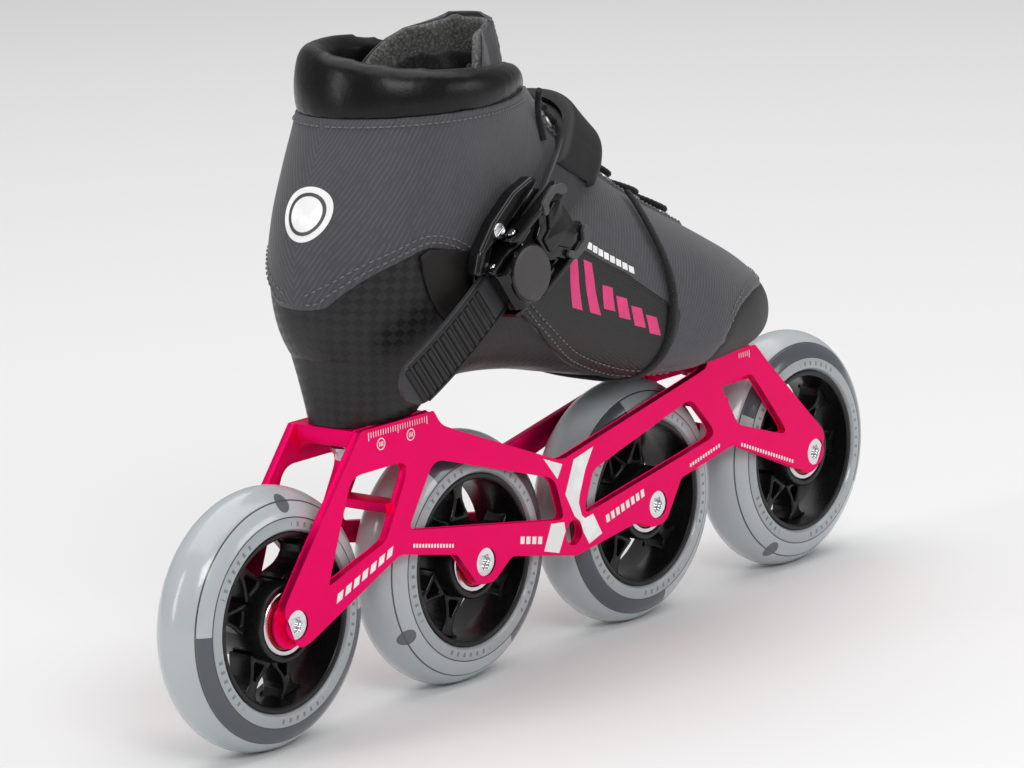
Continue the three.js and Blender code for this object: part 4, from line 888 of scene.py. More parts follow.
def bearing_shells(side):
    """Races with a gap that shows the shield, on one side of the wheel."""
    face, back = side * 11.85, side * 5.2
    outer = [(11.0, back), (11.0, face - side * 0.3), (10.7, face), (9.5, face), (9.2, face - side * 0.5),
             (9.2, back)]
    inner = [(4.1, back), (4.1, face - side * 0.3), (4.4, face), (6.0, face), (6.3, face - side * 0.5),
             (6.3, back)]
    shield = [(6.3, face - side * 1.0), (6.5, face - side * 0.55), (9.0, face - side * 0.55),
              (9.2, face - side * 1.0),
              (9.2, face - side * 1.3), (6.3, face - side * 1.3)]
    return [turned(outer, 56), turned(inner, 40)], [turned(shield, 56)]


def torx_loop(outer, inner, lobes=6, count=72):
    angles = np.linspace(0, 2 * math.pi, count, endpoint=False)
    radius = (outer + inner) / 2 + (outer - inner) / 2 * np.cos(lobes * angles)
    return np.stack([radius * np.cos(angles), radius * np.sin(angles)], 1)


def axle_bolt_shells(x):
    """Countersunk-looking head with a six-lobed socket, its shaft, and the far end of the thread."""
    head = plate(ring(5.2, count=64), [torx_loop(2.75, 2.15)], 1.7, 0.25, 2)
    shells = [to_side(head, -15.55)]
    floor_disc = plate(ring(5.0, count=48), (), 0.9, 0.1, 0)
    shells.append(to_side(floor_disc, -14.25))
    shells = [(p + (x, 0, AXLE_Z), f) for p, f in shells]
    shaft = [(0.0, -13.9), (3.95, -13.9), (3.95, 15.3), (3.5, 15.7), (0.0, 15.7)]
    shells.append(turned(shaft, 40, (x, 0, AXLE_Z), closed=False))
    return shells


for number, (x, turn_by) in enumerate(zip(AXLES, WHEEL_TURNS), 1):
    body = f"wheel_{number}"
    points, faces = turned(tyre_profile(), 144)
    tyre = piece(f"{body}_cast_tyre", (turned_about(points, x, turn_by), faces), URETHANE, body,
                 "tyre_urethane",
                 f"{body}_tyre", crisp=50)
    store_wheel_mm(tyre, x, PRINT_TURNS[number - 1])
    points, faces = gathered(hub_shells())
    piece(f"{body}_nylon_hub", (turned_about(points, x, turn_by), faces), HUB_BLACK, body, "hub_nylon",
          f"{body}_hub",
          crisp=40)
    spots = []
    for angle in SPOKE_ANGLES:
        a = math.radians(angle + turn_by)
        spots.append(((x, 0, AXLE_Z), (math.cos(a), 0, math.sin(a)), (0, -1, 0)))
    repeated(f"{body}_spokes", spots, SPOKE, HUB_BLACK, body, crisp=35)
    for label, side in (("outer_side", -1), ("inner_side", 1)):
        races, shield = bearing_shells(side)
        place = lambda shells: [(p + (x, 0, AXLE_Z), f) for p, f in shells]
        piece(f"{body}_races_{label}", gathered(place(races)), RACE_STEEL, body, "bearing_steel",
              f"{body}_bearing_{label}")
        piece(f"{body}_shield_{label}", gathered(place(shield)), RED_SHIELD, body, "bearing_steel")
    piece(f"axle_{number}", gathered(axle_bolt_shells(x)), STEEL, "skate", "axle_steel",
          f"axle_bolt_{number}", crisp=38)
    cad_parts[f"{body}_spacer"].data.materials[0] = STEEL
print("wheels:", number, "spokes in each:", len(SPOKE_ANGLES))

# %% [markdown]
# ## The boot's form
# The boot is a row of sections from the toe round the heel bend to the collar. They are the CAD boot's
# numbers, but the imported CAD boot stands 2.08 mm lower: a known fault of this scene. A point on it is
# named by a section number and an angle: 0 on the instep, 90 on the inner side, 180 on the sole and 270
# on the outer side. Sculpting would give the shape too, but with a formula every seam, stitch and panel
# can be told to lie exactly on the surface.

# %% Sections and points of the boot
SECTIONS = np.array([
    [263.0, 103.4, 265.0, 109.0, 7.0, 6.0, 0.50, 2.0, 2.0],
    [260.0, 99.2, 262.0, 116.5, 19.0, 5.5, 0.48, 2.2, 2.0],
    [254.0, 95.8, 255.0, 125.0, 28.5, 5.0, 0.45, 2.4, 2.0],
    [242.5, 93.6, 242.5, 133.0, 36.0, 4.0, 0.42, 2.6, 2.0],
    [224.0, 93.3, 224.0, 142.0, 41.5, 2.0, 0.40, 2.7, 2.0],
    [200.0, 93.4, 204.0, 152.0, 43.5, 0.0, 0.38, 2.7, 2.0],
    [175.0, 95.6, 187.0, 161.5, 43.0, 0.0, 0.38, 2.5, 2.0],
    [150.0, 101.2, 173.0, 170.5, 40.5, 0.0, 0.40, 2.4, 2.0],
    [122.0, 107.7, 162.5, 179.0, 38.0, 0.0, 0.42, 2.3, 2.0],
    [95.0, 110.7, 154.0, 187.5, 36.0, 0.0, 0.45, 2.2, 2.0],
    [68.0, 110.2, 147.5, 195.0, 35.0, 0.0, 0.47, 2.2, 2.0],
    [45.0, 114.0, 143.0, 201.0, 34.5, 0.0, 0.48, 2.2, 2.0],
    [31.0, 128.0, 139.5, 206.0, 34.5, 0.0, 0.48, 2.2, 2.0],
    [25.5, 147.0, 136.5, 209.5, 34.0, 0.0, 0.48, 2.1, 2.0],
    [28.0, 167.0, 134.0, 212.0, 33.5, 0.0, 0.48, 2.0, 2.0],
    [35.5, 186.0, 131.5, 214.0, 33.0, 0.0, 0.49, 2.0, 2.0],
    [43.5, 203.0, 129.5, 215.5, 33.0, 0.0, 0.50, 2.0, 2.0],
    [49.0, 221.0, 127.5, 217.0, 33.0, 0.0, 0.50, 2.0, 2.0]])
LAST = len(SECTIONS) - 1


def section_at(t):
    t = np.asarray(t, float)
    i = np.clip(np.floor(t).astype(int), 0, LAST - 1)
    f = (t - i)[..., None]
    p = [SECTIONS[np.clip(i + k, 0, LAST)] for k in (-1, 0, 1, 2)]
    m0, m1 = (p[2] - p[0]) / 2, (p[3] - p[1]) / 2
    return ((2 * f ** 3 - 3 * f ** 2 + 1) * p[1] + (f ** 3 - 2 * f ** 2 + f) * m0
            + (3 * f ** 2 - 2 * f ** 3) * p[2] + (f ** 3 - f ** 2) * m1)


def boot_point(t, angle):
    t, angle = np.broadcast_arrays(np.asarray(t, float), np.asarray(angle, float))
    xs, zs, xi, zi, half, shift, widest, below, above = np.moveaxis(section_at(t), -1, 0)
    c, s = np.cos(np.radians(angle)), np.sin(np.radians(angle))
    power = 2 / np.where(c > 0, above, below)
    size = np.abs(c) ** power
    up = np.where(c > 0, widest + (1 - widest) * size, widest - widest * size)
    side = shift + half * np.sign(s) * np.abs(s) ** power
    return np.stack([xs + (xi - xs) * up, side, zs + (zi - zs) * up], -1)


def unit(v):
    v = np.asarray(v, float)
    return v / np.maximum(np.linalg.norm(v, axis=-1, keepdims=True), 1e-9)


def boot_normal(t, angle):
    t, angle = np.broadcast_arrays(np.asarray(t, float), np.asarray(angle, float))
    along = boot_point(np.minimum(t + 0.03, LAST), angle) - boot_point(np.maximum(t - 0.03, 0), angle)
    around = boot_point(t, angle + 1.5) - boot_point(t, angle - 1.5)
    return unit(np.cross(around, along))


def on_boot(t, angle, offset):
    return boot_point(t, angle) + boot_normal(t, angle) * np.asarray(offset, float)[..., None]


def between(table, x):
    return np.interp(x, [row[0] for row in table], [row[1] for row in table])


print("tip of the toe:", boot_point(0, 0).round(1), "back of the heel:", boot_point(14, 180).round(1))

# %% [markdown]
# ## Skins that end on a line
# Shell, upper and toe cap are parts of the same surface, split along drawn lines. A boolean would leave
# ragged triangles there. Instead each skin is a fine grid over the boot, and every grid cell is cut where
# a field reaches zero. The field is the distance to the skin's edge in millimetres, so it also rolls the
# edge over: near zero the skin sinks to the surface under it, as a pulled and glued edge does.

# %% Grid of the boot and the cutter
ROWS_PER_SECTION = 9
GRID_T = np.linspace(0, LAST, LAST * ROWS_PER_SECTION + 1)
GRID_A = np.linspace(-180, 180, 145)


def clipped(field, ts, angles):
    """Points as (t, angle, field) and faces of the grid where the field is over zero."""
    points, faces, seen = [], [], {}
    closed = abs(angles[-1] - angles[0] - 360) < 1e-6
    around = len(angles) - 1

    def same(c):
        return (c[0], c[1] % around) if closed else c

    def corner(i, j):
        key = same((i, j))
        if key not in seen:
            seen[key] = len(points)
            points.append((ts[i], angles[j], field[i, j]))
        return seen[key]

    def crossing(a, b):
        key = frozenset((same(a), same(b)))
        if key not in seen:
            f = field[a] / (field[a] - field[b])
            seen[key] = len(points)
            points.append((ts[a[0]] * (1 - f) + ts[b[0]] * f, angles[a[1]] * (1 - f) + angles[b[1]] * f,
                           0.0))
        return seen[key]

    for i in range(len(ts) - 1):
        for j in range(len(angles) - 1):
            cell = [(i, j), (i + 1, j), (i + 1, j + 1), (i, j + 1)]
            values = [field[c] for c in cell]
            if max(values) <= 0:
                continue
            loop = []
            for k in range(4):
                a, b = cell[k], cell[(k + 1) % 4]
                if field[a] > 0:
                    loop.append(corner(*a))
                if (field[a] > 0) != (field[b] > 0):
                    loop.append(crossing(a, b))
            if len(loop) > 2:
                faces.append(tuple(loop))
    return np.array(points), faces


def boot_skin(name, field_of, lift, wall, material, slot, *nodes, ts=GRID_T, angles=GRID_A, roll=1.2,
              extra=(),
              crisp=45):
    """Skin of the boot: lift over the surface, wall inward, cut and rolled at its edge."""
    T, A = np.meshgrid(ts, angles, indexing="ij")
    field = field_of(T, A, boot_point(T, A))
    points, faces = clipped(field, ts, angles)
    t, a, f = points.T
    edge = np.clip(f / roll, 0, 1)
    offset = lift - (1 - np.sqrt(1 - (1 - edge) ** 2)) * min(0.8 * wall, max(lift - 0.12, 0.3))
    outer = on_boot(t, a, offset)
    inner = on_boot(t, a, np.full(len(t), lift - wall))
    n = len(outer)
    use = {}
    for face in faces:
        for p, q in zip(face, face[1:] + face[:1]):
            use[(p, q)] = use.get((p, q), 0) + 1
    rim = [(q, p, p + n, q + n) for (p, q) in use if (q, p) not in use]
    shells = [(np.concatenate([outer, inner]),
               faces + [tuple(i + n for i in reversed(face)) for face in faces] + rim)]
    shells += extra
    made = piece(name, gathered(shells), material, "skate", slot, *nodes, crisp=crisp)
    store_skin(made)
    return made


BEND_X = 85.0


def store_skin(made):
    """Keeps where each point lies in side view, with the heel unrolled, as (along, up, across) in mm."""
    mesh = made.data
    co = (np.array([v.co for v in mesh.vertices], float) - DATUM) / MM
    heel = np.maximum(BEND_X - co[:, 0], 0)
    unrolled = np.where(co[:, 0] > BEND_X, co[:, 0] - BEND_X,
                        -40 * np.arctan2(heel, np.abs(co[:, 1]) * 1.2 + 1e-6))
    flat = np.stack([unrolled, co[:, 2], co[:, 1]], 1)
    mesh.attributes.new("skin_mm", "FLOAT_VECTOR", "POINT").data.foreach_set("vector", flat.ravel())


def smooth_line(corners, count=140):
    """Points along a curve through the corners."""
    p = np.asarray(corners, float)
    p = np.concatenate([[2 * p[0] - p[1]], p, [2 * p[-1] - p[-2]]])
    u = np.linspace(0, len(p) - 3 - 1e-9, count)
    i = u.astype(int)
    f = (u - i)[:, None]
    a, b, c, d = p[i], p[i + 1], p[i + 2], p[i + 3]
    return 0.5 * (2 * b + (c - a) * f + (2 * a - 5 * b + 4 * c - d) * f ** 2 + (3 * b - a - 3 * c + d) * f ** 3)


def left_of(points, line):
    """Signed distance of points (..., 2) from a line, positive on its left."""
    flat = points.reshape(-1, 2)
    best = np.full(len(flat), 1e9)
    sign = np.ones(len(flat))
    for p, q in zip(line[:-1], line[1:]):
        d = q - p
        f = np.clip(((flat - p) @ d) / max(d @ d, 1e-12), 0, 1)
        away = flat - (p + f[:, None] * d)
        size = np.hypot(away[:, 0], away[:, 1])
        side = np.where(d[0] * (flat[:, 1] - p[1]) - d[1] * (flat[:, 0] - p[0]) > 0, 1, -1)
        near = size < best - 1e-9
        best = np.where(near, size, best)
        sign = np.where(near, side, sign)
    return (best * sign).reshape(points.shape[:-1])


SHELL_EDGE = smooth_line([[-30, 143], [10, 144.5], [26, 145.5], [31, 151], [38, 156.5], [50, 161.5],
                          [58, 163.5], [68, 160.5],
                          [76, 155], [97, 138], [111, 126], [131, 112], [155, 101.8], [173, 97.6], [201, 96],
                          [300, 92]])
CAP_EDGE = smooth_line([[201, 40], [201.2, 80], [201.5, 98], [203, 104], [207.5, 111.5], [215, 117],
                        [230, 119.5], [251, 118.5],
                        [300, 121.5]])
UPPER_TOP = 205.5
side_view = lambda p: p[..., [0, 2]]
throat_half = lambda t: between([[4, 9], [6, 14], [9, 19], [12, 23], [17, 27]], t)


def outside_throat(t, a):
    around = (np.abs(a) - throat_half(t)) * 0.62
    ahead = (4.4 - t) * 18.0
    return np.where((around < 0) & (ahead < 0), -np.minimum(-around, -ahead), np.maximum(around, ahead))


def upper_field(t, a, p):
    return np.minimum.reduce([left_of(side_view(p), SHELL_EDGE), left_of(side_view(p), CAP_EDGE),
                              UPPER_TOP + 1.5 - p[..., 2], outside_throat(t, a)])


def shell_field(t, a, p):
    return np.minimum.reduce([3.0 - left_of(side_view(p), SHELL_EDGE), 201.0 - p[..., 0]])


def cap_field(t, a, p):
    return np.minimum(-left_of(side_view(p), CAP_EDGE), p[..., 0] - 201.3)


print("grid:", len(GRID_T), "by", len(GRID_A))

# %% [markdown]
# ## Carbon, microfibre, rubber
# The shell is a carbon laminate: a 2/2 twill with squares of a few millimetres, each lying at its own
# angle to the light, under a satin lacquer. The upper is a grey microfibre with fine slanting ripples.
# The toe cap is a plain moulded rubber. The patterns follow the side of the boot, in millimetres.

# %% Boot finishes
def leaning(f, vector, degrees):
    """Coordinates of a vector turned in the plane of its first two values."""
    x, y, _ = split(f.tree, vector)
    a = math.radians(degrees)
    part = lambda p, q: maths(f.tree, "ADD", maths(f.tree, "MULTIPLY", x, p),
                              maths(f.tree, "MULTIPLY", y, q))
    return part(math.cos(a), math.sin(a)), part(-math.sin(a), math.cos(a))


def microfibre():
    f = Finish("ripple microfibre", (0.061, 0.0605, 0.068), 0.62, Specular_IOR_Level=0.25, Sheen_Weight=0.15,
               Sheen_Roughness=0.5)
    across, _ = leaning(f, f.attribute("skin_mm"), -32)
    wobble = f.noise(16, 3)
    broken = f.noise(3.2, 2)
    slow = maths(f.tree, "MULTIPLY", wobble, 9.0)
    wave = maths(f.tree, "SINE",
                 maths(f.tree, "ADD", maths(f.tree, "MULTIPLY", across, 2 * math.pi / 1.5), slow))
    lifted = maths(f.tree, "MULTIPLY_ADD", wave, 0.5, 0.5)
    # Painted highlight: the crests of the ripples are lightened, in patches broken up by noise.
    crest_highlight_patches = maths(f.tree, "MULTIPLY", step_up(f.tree, broken, 0.42, 0.12),
                   step_up(f.tree, lifted, 0.80, 0.22))
    f.tint(crest_highlight_patches, (0.100, 0.100, 0.110), 0.62)
    # Painted shade: the troughs of the ripples are darkened.
    f.tint(step_up(f.tree, maths(f.tree, "SUBTRACT", 1.0, lifted), 0.8, 0.2), (0.052, 0.052, 0.058), 0.5)
    clouds = f.noise(35, 2)
    f.tint(step_up(f.tree, clouds, 0.6, 0.15), (0.080, 0.079, 0.087), 0.35)
    grain = f.put(GRAIN, Vector=f.place, Size_mm=0.5)["Height"]
    return f.rough(grain, 0.5, 0.68).relief(lifted, 0.05).relief(grain, 0.05).done()


def carbon():
    f = Finish("twill carbon", (0.011, 0.0105, 0.0112), 0.42, Coat_Weight=0.06, Coat_Roughness=0.3,
               Specular_IOR_Level=0.22)
    u, v = leaning(f, f.attribute("skin_mm"), 38)
    cells = f.tree.nodes.new("ShaderNodeCombineXYZ")
    f.tree.links.new(u, cells.inputs[0])
    f.tree.links.new(v, cells.inputs[1])
    weave = f.put(WEAVE, Vector_mm=cells.outputs[0], Thread_mm=2.6)
    f.tint(weave["Over"], (0.030, 0.029, 0.030), 0.55)
    clouds = f.noise(28, 3)
    f.tint(step_up(f.tree, clouds, 0.52, 0.18), (0.036, 0.034, 0.034), 0.5)
    f.rough(weave["Over"], 0.36, 0.5)
    grain = f.put(GRAIN, Vector=f.place, Size_mm=0.6)["Height"]
    return f.relief(weave["Height"], 0.045).relief(grain, 0.03).done()


def toe_rubber():
    f = Finish("toe rubber", (0.030, 0.028, 0.028), 0.58, Specular_IOR_Level=0.3)
    clouds = f.noise(18, 3)
    f.tint(step_up(f.tree, clouds, 0.55, 0.18), (0.045, 0.042, 0.042), 0.55)
    grain = f.put(GRAIN, Vector=f.place, Size_mm=0.45)["Height"]
    return f.rough(grain, 0.45, 0.65).relief(grain, 0.05).done()


def felt(name, colour, speckle, size=0.9):
    f = Finish(name, colour, 0.85, Sheen_Weight=0.12, Sheen_Roughness=0.6, Specular_IOR_Level=0.15)
    fuzz = f.noise(size, 4)
    f.tint(step_up(f.tree, fuzz, 0.58, 0.08), speckle, 0.85)
    f.tint(step_up(f.tree, maths(f.tree, "SUBTRACT", 1.0, fuzz), 0.6, 0.08), tuple(c * 0.45 for c in colour),
           0.7)
    return f.relief(fuzz, 0.35).done()


def soft_leather(name, colour, roughness, crease=0.05):
    f = Finish(name, colour, roughness, Specular_IOR_Level=0.26)
    pores = f.tree.nodes.new("ShaderNodeTexVoronoi")
    pores.feature = "DISTANCE_TO_EDGE"
    pores.inputs["Scale"].default_value = 1100
    f.tree.links.new(f.place, pores.inputs["Vector"])
    cell = step_up(f.tree, pores.outputs["Distance"], 0.07, 0.07)
    folds = f.noise(5, 3)
    f.rough(folds, roughness * 0.82, roughness * 1.2)
    f.tint(step_up(f.tree, folds, 0.62, 0.12), tuple(c * 1.6 + 0.002 for c in colour), 0.5)
    return f.relief(cell, 0.012).relief(folds, crease).done()


def grid_cloth():
    f = Finish("fine grid cloth", (0.0085, 0.0080, 0.0080), 0.38, Coat_Weight=0.12, Coat_Roughness=0.3,
               Specular_IOR_Level=0.3)
    u, v = leaning(f, f.attribute("skin_mm"), -30)
    cells = f.tree.nodes.new("ShaderNodeCombineXYZ")
    f.tree.links.new(u, cells.inputs[0])
    f.tree.links.new(v, cells.inputs[1])
    weave = f.put(WEAVE, Vector_mm=cells.outputs[0], Thread_mm=0.85)
    line = lambda w: maths(f.tree, "ABSOLUTE",
                           maths(f.tree, "SINE", maths(f.tree, "MULTIPLY", w, math.pi / 0.85)))
    gridded = maths(f.tree, "MULTIPLY", line(u), line(v))
    f.tint(step_up(f.tree, maths(f.tree, "SUBTRACT", 1.0, gridded), 0.82, 0.12), (0.050, 0.047, 0.046), 0.8)
    return f.rough(gridded, 0.55, 0.3).relief(gridded, 0.10).done()


MICROFIBRE = microfibre()
CARBON = carbon()
TOE_RUBBER = toe_rubber()
FELT = felt("speckled grey felt", (0.085, 0.083, 0.082), (0.19, 0.187, 0.184))
LINING = felt("dark lining knit", (0.020, 0.020, 0.021), (0.045, 0.045, 0.046), 0.7)
COLLAR_LEATHER = soft_leather("soft black leather", (0.0036, 0.0034, 0.0034), 0.27)
BASE_LEATHER = soft_leather("smooth black microfibre", (0.011, 0.0095, 0.009), 0.55, 0.02)
GRID_CLOTH = grid_cloth()
THREAD_GREY = felt("grey thread", (0.145, 0.142, 0.145), (0.21, 0.207, 0.21), 0.5)
PRINT_PINK = moulded("magenta print", (0.72, 0.035, 0.19), 0.45, 0.3, 0.004)
print("finishes:", len(bpy.data.materials))

# %% [markdown]
# ## Shell, upper and toe cap
# The shell carries a block under the heel that stands on the frame. Its sides sweep out into the shell
# like the foot of a bottle, as laid-up carbon cannot turn a sharp corner. Inside, a knitted lining covers
# the wall.

# %% Build the boot's outer pieces
def stacked(rings):
    """One closed shell through rings of points, from the lowest up."""
    count, faces = len(rings[0]), []
    for k in range(len(rings) - 1):
        for i in range(count):
            j = (i + 1) % count
            faces.append((k * count + i, k * count + j, (k + 1) * count + j, (k + 1) * count + i))
    return np.concatenate(rings), faces + [tuple(reversed(range(count))),
                                           tuple(range((len(rings) - 1) * count, len(rings) * count))]


def rounded_ring(z, back, front, half, power, count=96):
    """Rounded outline at height z; a lower power makes it squarer."""
    angles = np.linspace(0, 2 * math.pi, count, endpoint=False)
    c, s = np.cos(angles), np.sin(angles)
    return np.stack([(back + front) / 2 + (front - back) / 2 * np.sign(c) * np.abs(c) ** power,
                     half * np.sign(s) * np.abs(s) ** power, np.full(count, float(z))], 1)


HEEL_FOOT = (36.6, 74.6, 14.2, 0.66)
HEEL_INNER, JOIN_GAP, TOP_SHRINK = 92.0, 0.4, 36.0


def heel_block(join=128.0, middle=60.0, count=96, rows=24):
    """Block under the heel: the platform's outline grows into the boot's own outline at the join."""
    T, A = np.meshgrid(np.linspace(8, 14, 240), np.linspace(-180, 180, 361), indexing="ij")
    cloud = boot_point(T, A).reshape(-1, 3)
    above = cloud[(np.abs(cloud[:, 2] - join) < 0.8) & (cloud[:, 0] < HEEL_INNER)]
    turns, reach = np.linspace(-math.pi, math.pi, count, endpoint=False), []
    for ring in (rounded_ring(0, *HEEL_FOOT, 400), above):
        turn, far = np.arctan2(ring[:, 1], ring[:, 0] - middle), np.hypot(ring[:, 0] - middle, ring[:, 1])
        order = np.argsort(turn)
        far = np.interp(turns, turn[order], far[order], period=2 * math.pi)
        reach.append(np.convolve(np.pad(far, 2, mode="wrap"), np.ones(5) / 5, "valid"))
    low, rings = REAR_TOP + 0.3, []
    for z in np.linspace(low, join + 2, rows):
        f = (z - low) / (join - low)
        far = reach[0] + (reach[1] - JOIN_GAP - reach[0]) * min(f, 1) ** 1.1 - TOP_SHRINK * max(f - 1, 0)
        rings.append(np.stack([middle + far * np.cos(turns), far * np.sin(turns), np.full(count, z)], 1))
    return stacked(rings)


heel_stand = heel_block()
ball_stand = stacked([rounded_ring(FRONT_TOP + 0.3, 229.2, 253.8, 15, 0.7),
                      rounded_ring(FRONT_TOP + 3.4, 227, 256, 17, 0.75)])
boot_skin("carbon_boot_shell", shell_field, 0.0, 3.0, CARBON, "shell_carbon", "boot_shell", roll=0.8,
          extra=[heel_stand])
boot_skin("ripple_upper", upper_field, 0.85, 2.9, MICROFIBRE, "upper_microfibre", "upper", roll=0.9)
boot_skin("moulded_toe_cap", cap_field, 0.55, 3.0, TOE_RUBBER, "toe_rubber", "toe_cap", roll=1.6,
          extra=[ball_stand])


def lining_field(t, a, p):
    return np.minimum.reduce([UPPER_TOP - 3 - p[..., 2], outside_throat(t, a) - 2.0, (t - 1.3) * 18])


boot_skin("knitted_lining", lining_field, -2.7, 0.6, LINING, "upper_microfibre", roll=0.5)

# %% [markdown]
# ## Padded pieces: collar and tongue
# The collar is foam inside soft leather, so it swells between its seams and has no flat faces. It could
# be a bevelled tube, but then it would look turned. Here a plain closed form, a little thinner than the
# real one, is blown up as cloth, and each point may move only a short way, so that it stays off the
# boot's opening. The tongue is a thick felt sheet with an arched top, made in the same way.

# %% Puffing
def puffed(name, shell, voxel_mm, cap_mm, material, slot, *nodes, fill=0.6, frames=20, pressure=4.0):
    made = piece(name, shell, material, "skate", slot, *nodes, crisp=180)
    remesh = made.modifiers.new("even cells", "REMESH")
    remesh.mode, remesh.voxel_size = "VOXEL", voxel_mm * MM
    evaluated_mesh(made)
    start = np.array([v.co for v in made.data.vertices])
    cloth = made.modifiers.new("cloth", "CLOTH")
    cloth.settings.use_pressure = True
    cloth.settings.uniform_pressure_force = pressure
    cloth.settings.effector_weights.gravity = 0
    cloth.settings.quality = 6
    for step in range(1, frames + 1):
        scene.frame_set(step)
    evaluated_mesh(made)
    scene.frame_set(1)
    end = np.array([v.co for v in made.data.vertices])
    moved = end - start
    size = np.linalg.norm(moved, axis=1, keepdims=True)
    capped = start + moved * np.minimum(1, cap_mm * MM / np.maximum(size, 1e-12))
    made.data.vertices.foreach_set("co", capped.ravel())
    smooth = made.modifiers.new("smooth", "SMOOTH")
    smooth.iterations, smooth.factor = 3, 0.5
    finer = made.modifiers.new("finer", "SUBSURF")
    finer.levels = finer.render_levels = 1
    evaluated_mesh(made)
    made.data.materials.clear()
    made.data.materials.append(material)
    shade_crisp(made.data, 180)
    print(name, "moved at most", round(float(size.max()) / MM, 2), "mm before the cap")
    return made


def slab(low, high):
    """Closed shell between two grids of points."""
    rows, cols = low.shape[:2]
    index = lambda i, j, top: (i * cols + j) + (rows * cols if top else 0)
    faces = []
    for i in range(rows - 1):
        for j in range(cols - 1):
            faces.append((index(i, j, 1), index(i, j + 1, 1), index(i + 1, j + 1, 1), index(i + 1, j, 1)))
            faces.append((index(i, j, 0), index(i + 1, j, 0), index(i + 1, j + 1, 0), index(i, j + 1, 0)))
    border = [(0, j) for j in range(cols)] + [(i, cols - 1) for i in range(1, rows)]
    border += [(rows - 1, j) for j in range(cols - 2, -1, -1)] + [(i, 0) for i in range(rows - 2, 0, -1)]
    for a, b in zip(border, border[1:] + border[:1]):
        faces.append((index(*a, 0), index(*b, 0), index(*b, 1), index(*a, 1)))
    return np.concatenate([low.reshape(-1, 3), high.reshape(-1, 3)]), faces


def pillow_edge(rows, cols, row_reach, col_reach):
    """1 in the middle of a grid and falling round to 0 at its border, over a share of its size."""
    u = np.linspace(0, 1, rows)[:, None]
    v = np.linspace(0, 1, cols)[None, :]
    near = np.minimum(np.minimum(u, 1 - u) / row_reach, np.minimum(v, 1 - v) / col_reach)
    near = np.clip(near, 0, 1)
    return np.sqrt(np.clip(1 - (1 - near) ** 2, 0, 1))


# %% Collar
def section_at_height(angle, z):
    lo, hi = np.full(np.shape(angle), 11.0), np.full(np.shape(angle), float(LAST))
    for _ in range(30):
        middle = (lo + hi) / 2
        under = boot_point(middle, angle)[..., 2] < z
        lo, hi = np.where(under, middle, lo), np.where(under, hi, middle)
    return (lo + hi) / 2


def collar_shell(count=110):
    """Rings round the collar's section, from one side of the throat to the other."""
    angles = np.linspace(33, 327, count)
    foot = section_at_height(angles, UPPER_TOP + 0.3)
    loops = []
    for u, off in ((0, 0.1), (0.12, 1.1), (0.3, 2.0), (0.5, 2.1), (0.7, 1.6), (0.88, 0.6), (1, -1.2)):
        loops.append(on_boot(foot + (LAST - foot) * u, angles, np.full(count, off)))
    loops.append(on_boot(np.full(count, LAST), angles, np.full(count, -3.6)) + (0, 0, 1.6))
    for u, off in ((1, -6.2), (0.85, -7.6), (0.6, -7.9), (0.35, -7.9), (0.12, -7.4), (0, -6.6)):
        loops.append(on_boot(foot + (LAST - foot) * u, angles, np.full(count, off)))
    grid = np.array(loops)
    rise = between([[33, 2], [60, 6], [95, 9], [150, 8.5], [185, 6.0], [225, 2], [270, 0], [327, 0]], angles)
    grid[:, :, 2] += rise * np.clip((grid[:, :, 2] - UPPER_TOP) / 15.0, 0, 1)
    grid[[0, -1], :, 2] = UPPER_TOP + 0.2
    middle = grid.mean(axis=0)
    for k, share in enumerate((0.45, 0.8)):
        for end in (k, -1 - k):
            grid[:, end] = middle[end] + (grid[:, end] - middle[end]) * share
    rows, cols = grid.shape[:2]
    faces = []
    for i in range(rows):
        m = (i + 1) % rows
        for j in range(cols - 1):
            faces.append((i * cols + j, i * cols + j + 1, m * cols + j + 1, m * cols + j))
    faces.append(tuple(i * cols for i in range(rows)))
    faces.append(tuple(i * cols + cols - 1 for i in reversed(range(rows))))
    return grid.reshape(-1, 3), faces


collar = puffed("leather_collar", collar_shell(), 1.9, 0.9, COLLAR_LEATHER, "collar_leather", "collar")

# %% Tongue
def tongue_grid(depth_more=0.0, inset=0.0, lift_top=23.0, low_t=5.0):
    rows_t = np.linspace(low_t, 15, 34)
    half_of = lambda t: between([[5, 20], [9, 29], [12, 36], [13.6, 46], [15, 66]], t)
    depth_of = lambda t, a: (3.2 + 1.1 + 5.8 * between([[5, 0], [10, 0], [12, 1], [17, 1]], t)
                             * between([[0, 0], [20, 0], [31, 1], [60, 1]], np.abs(a)) + depth_more)
    cols = np.linspace(-1, 1, 41)
    lean = 22.0
    rows = []
    for t in rows_t:
        wide = max(half_of(t) - inset * 1.5, 4)
        a = np.where(cols > 0, cols * (wide + lean * max(0, (t - 12) / 3)), cols * wide)
        rows.append(on_boot(np.full(41, t), a, -depth_of(t, a)))
    for f in np.linspace(0, 1, 16)[1:]:
        arch = (1 - (0.985 * f) ** 3.0) ** 0.5
        a = np.where(cols > 0, cols * (66 + lean - inset * 1.5), cols * (66 - inset * 1.5)) * max(arch,
                0.03) + 9 * f
        base = on_boot(np.full(41, 15.0), a, -depth_of(15.0, a))
        rows.append(base + np.array([-5 * f * f, 0, 0]) + np.array([0, 0, 1]) * ((lift_top - inset) * f))
    return np.array(rows)


def tongue_shell(thickness, depth_more=0.0, inset=0.0, low_t=5.0):
    outer = tongue_grid(depth_more, inset, low_t=low_t)
    inner = tongue_grid(depth_more + thickness, inset, low_t=low_t)
    edge = pillow_edge(*outer.shape[:2], 0.035, 0.05)[..., None]
    middle = (outer + inner) / 2
    squeeze = 0.35 + 0.65 * edge
    return slab(middle + (inner - middle) * squeeze, middle + (outer - middle) * squeeze)


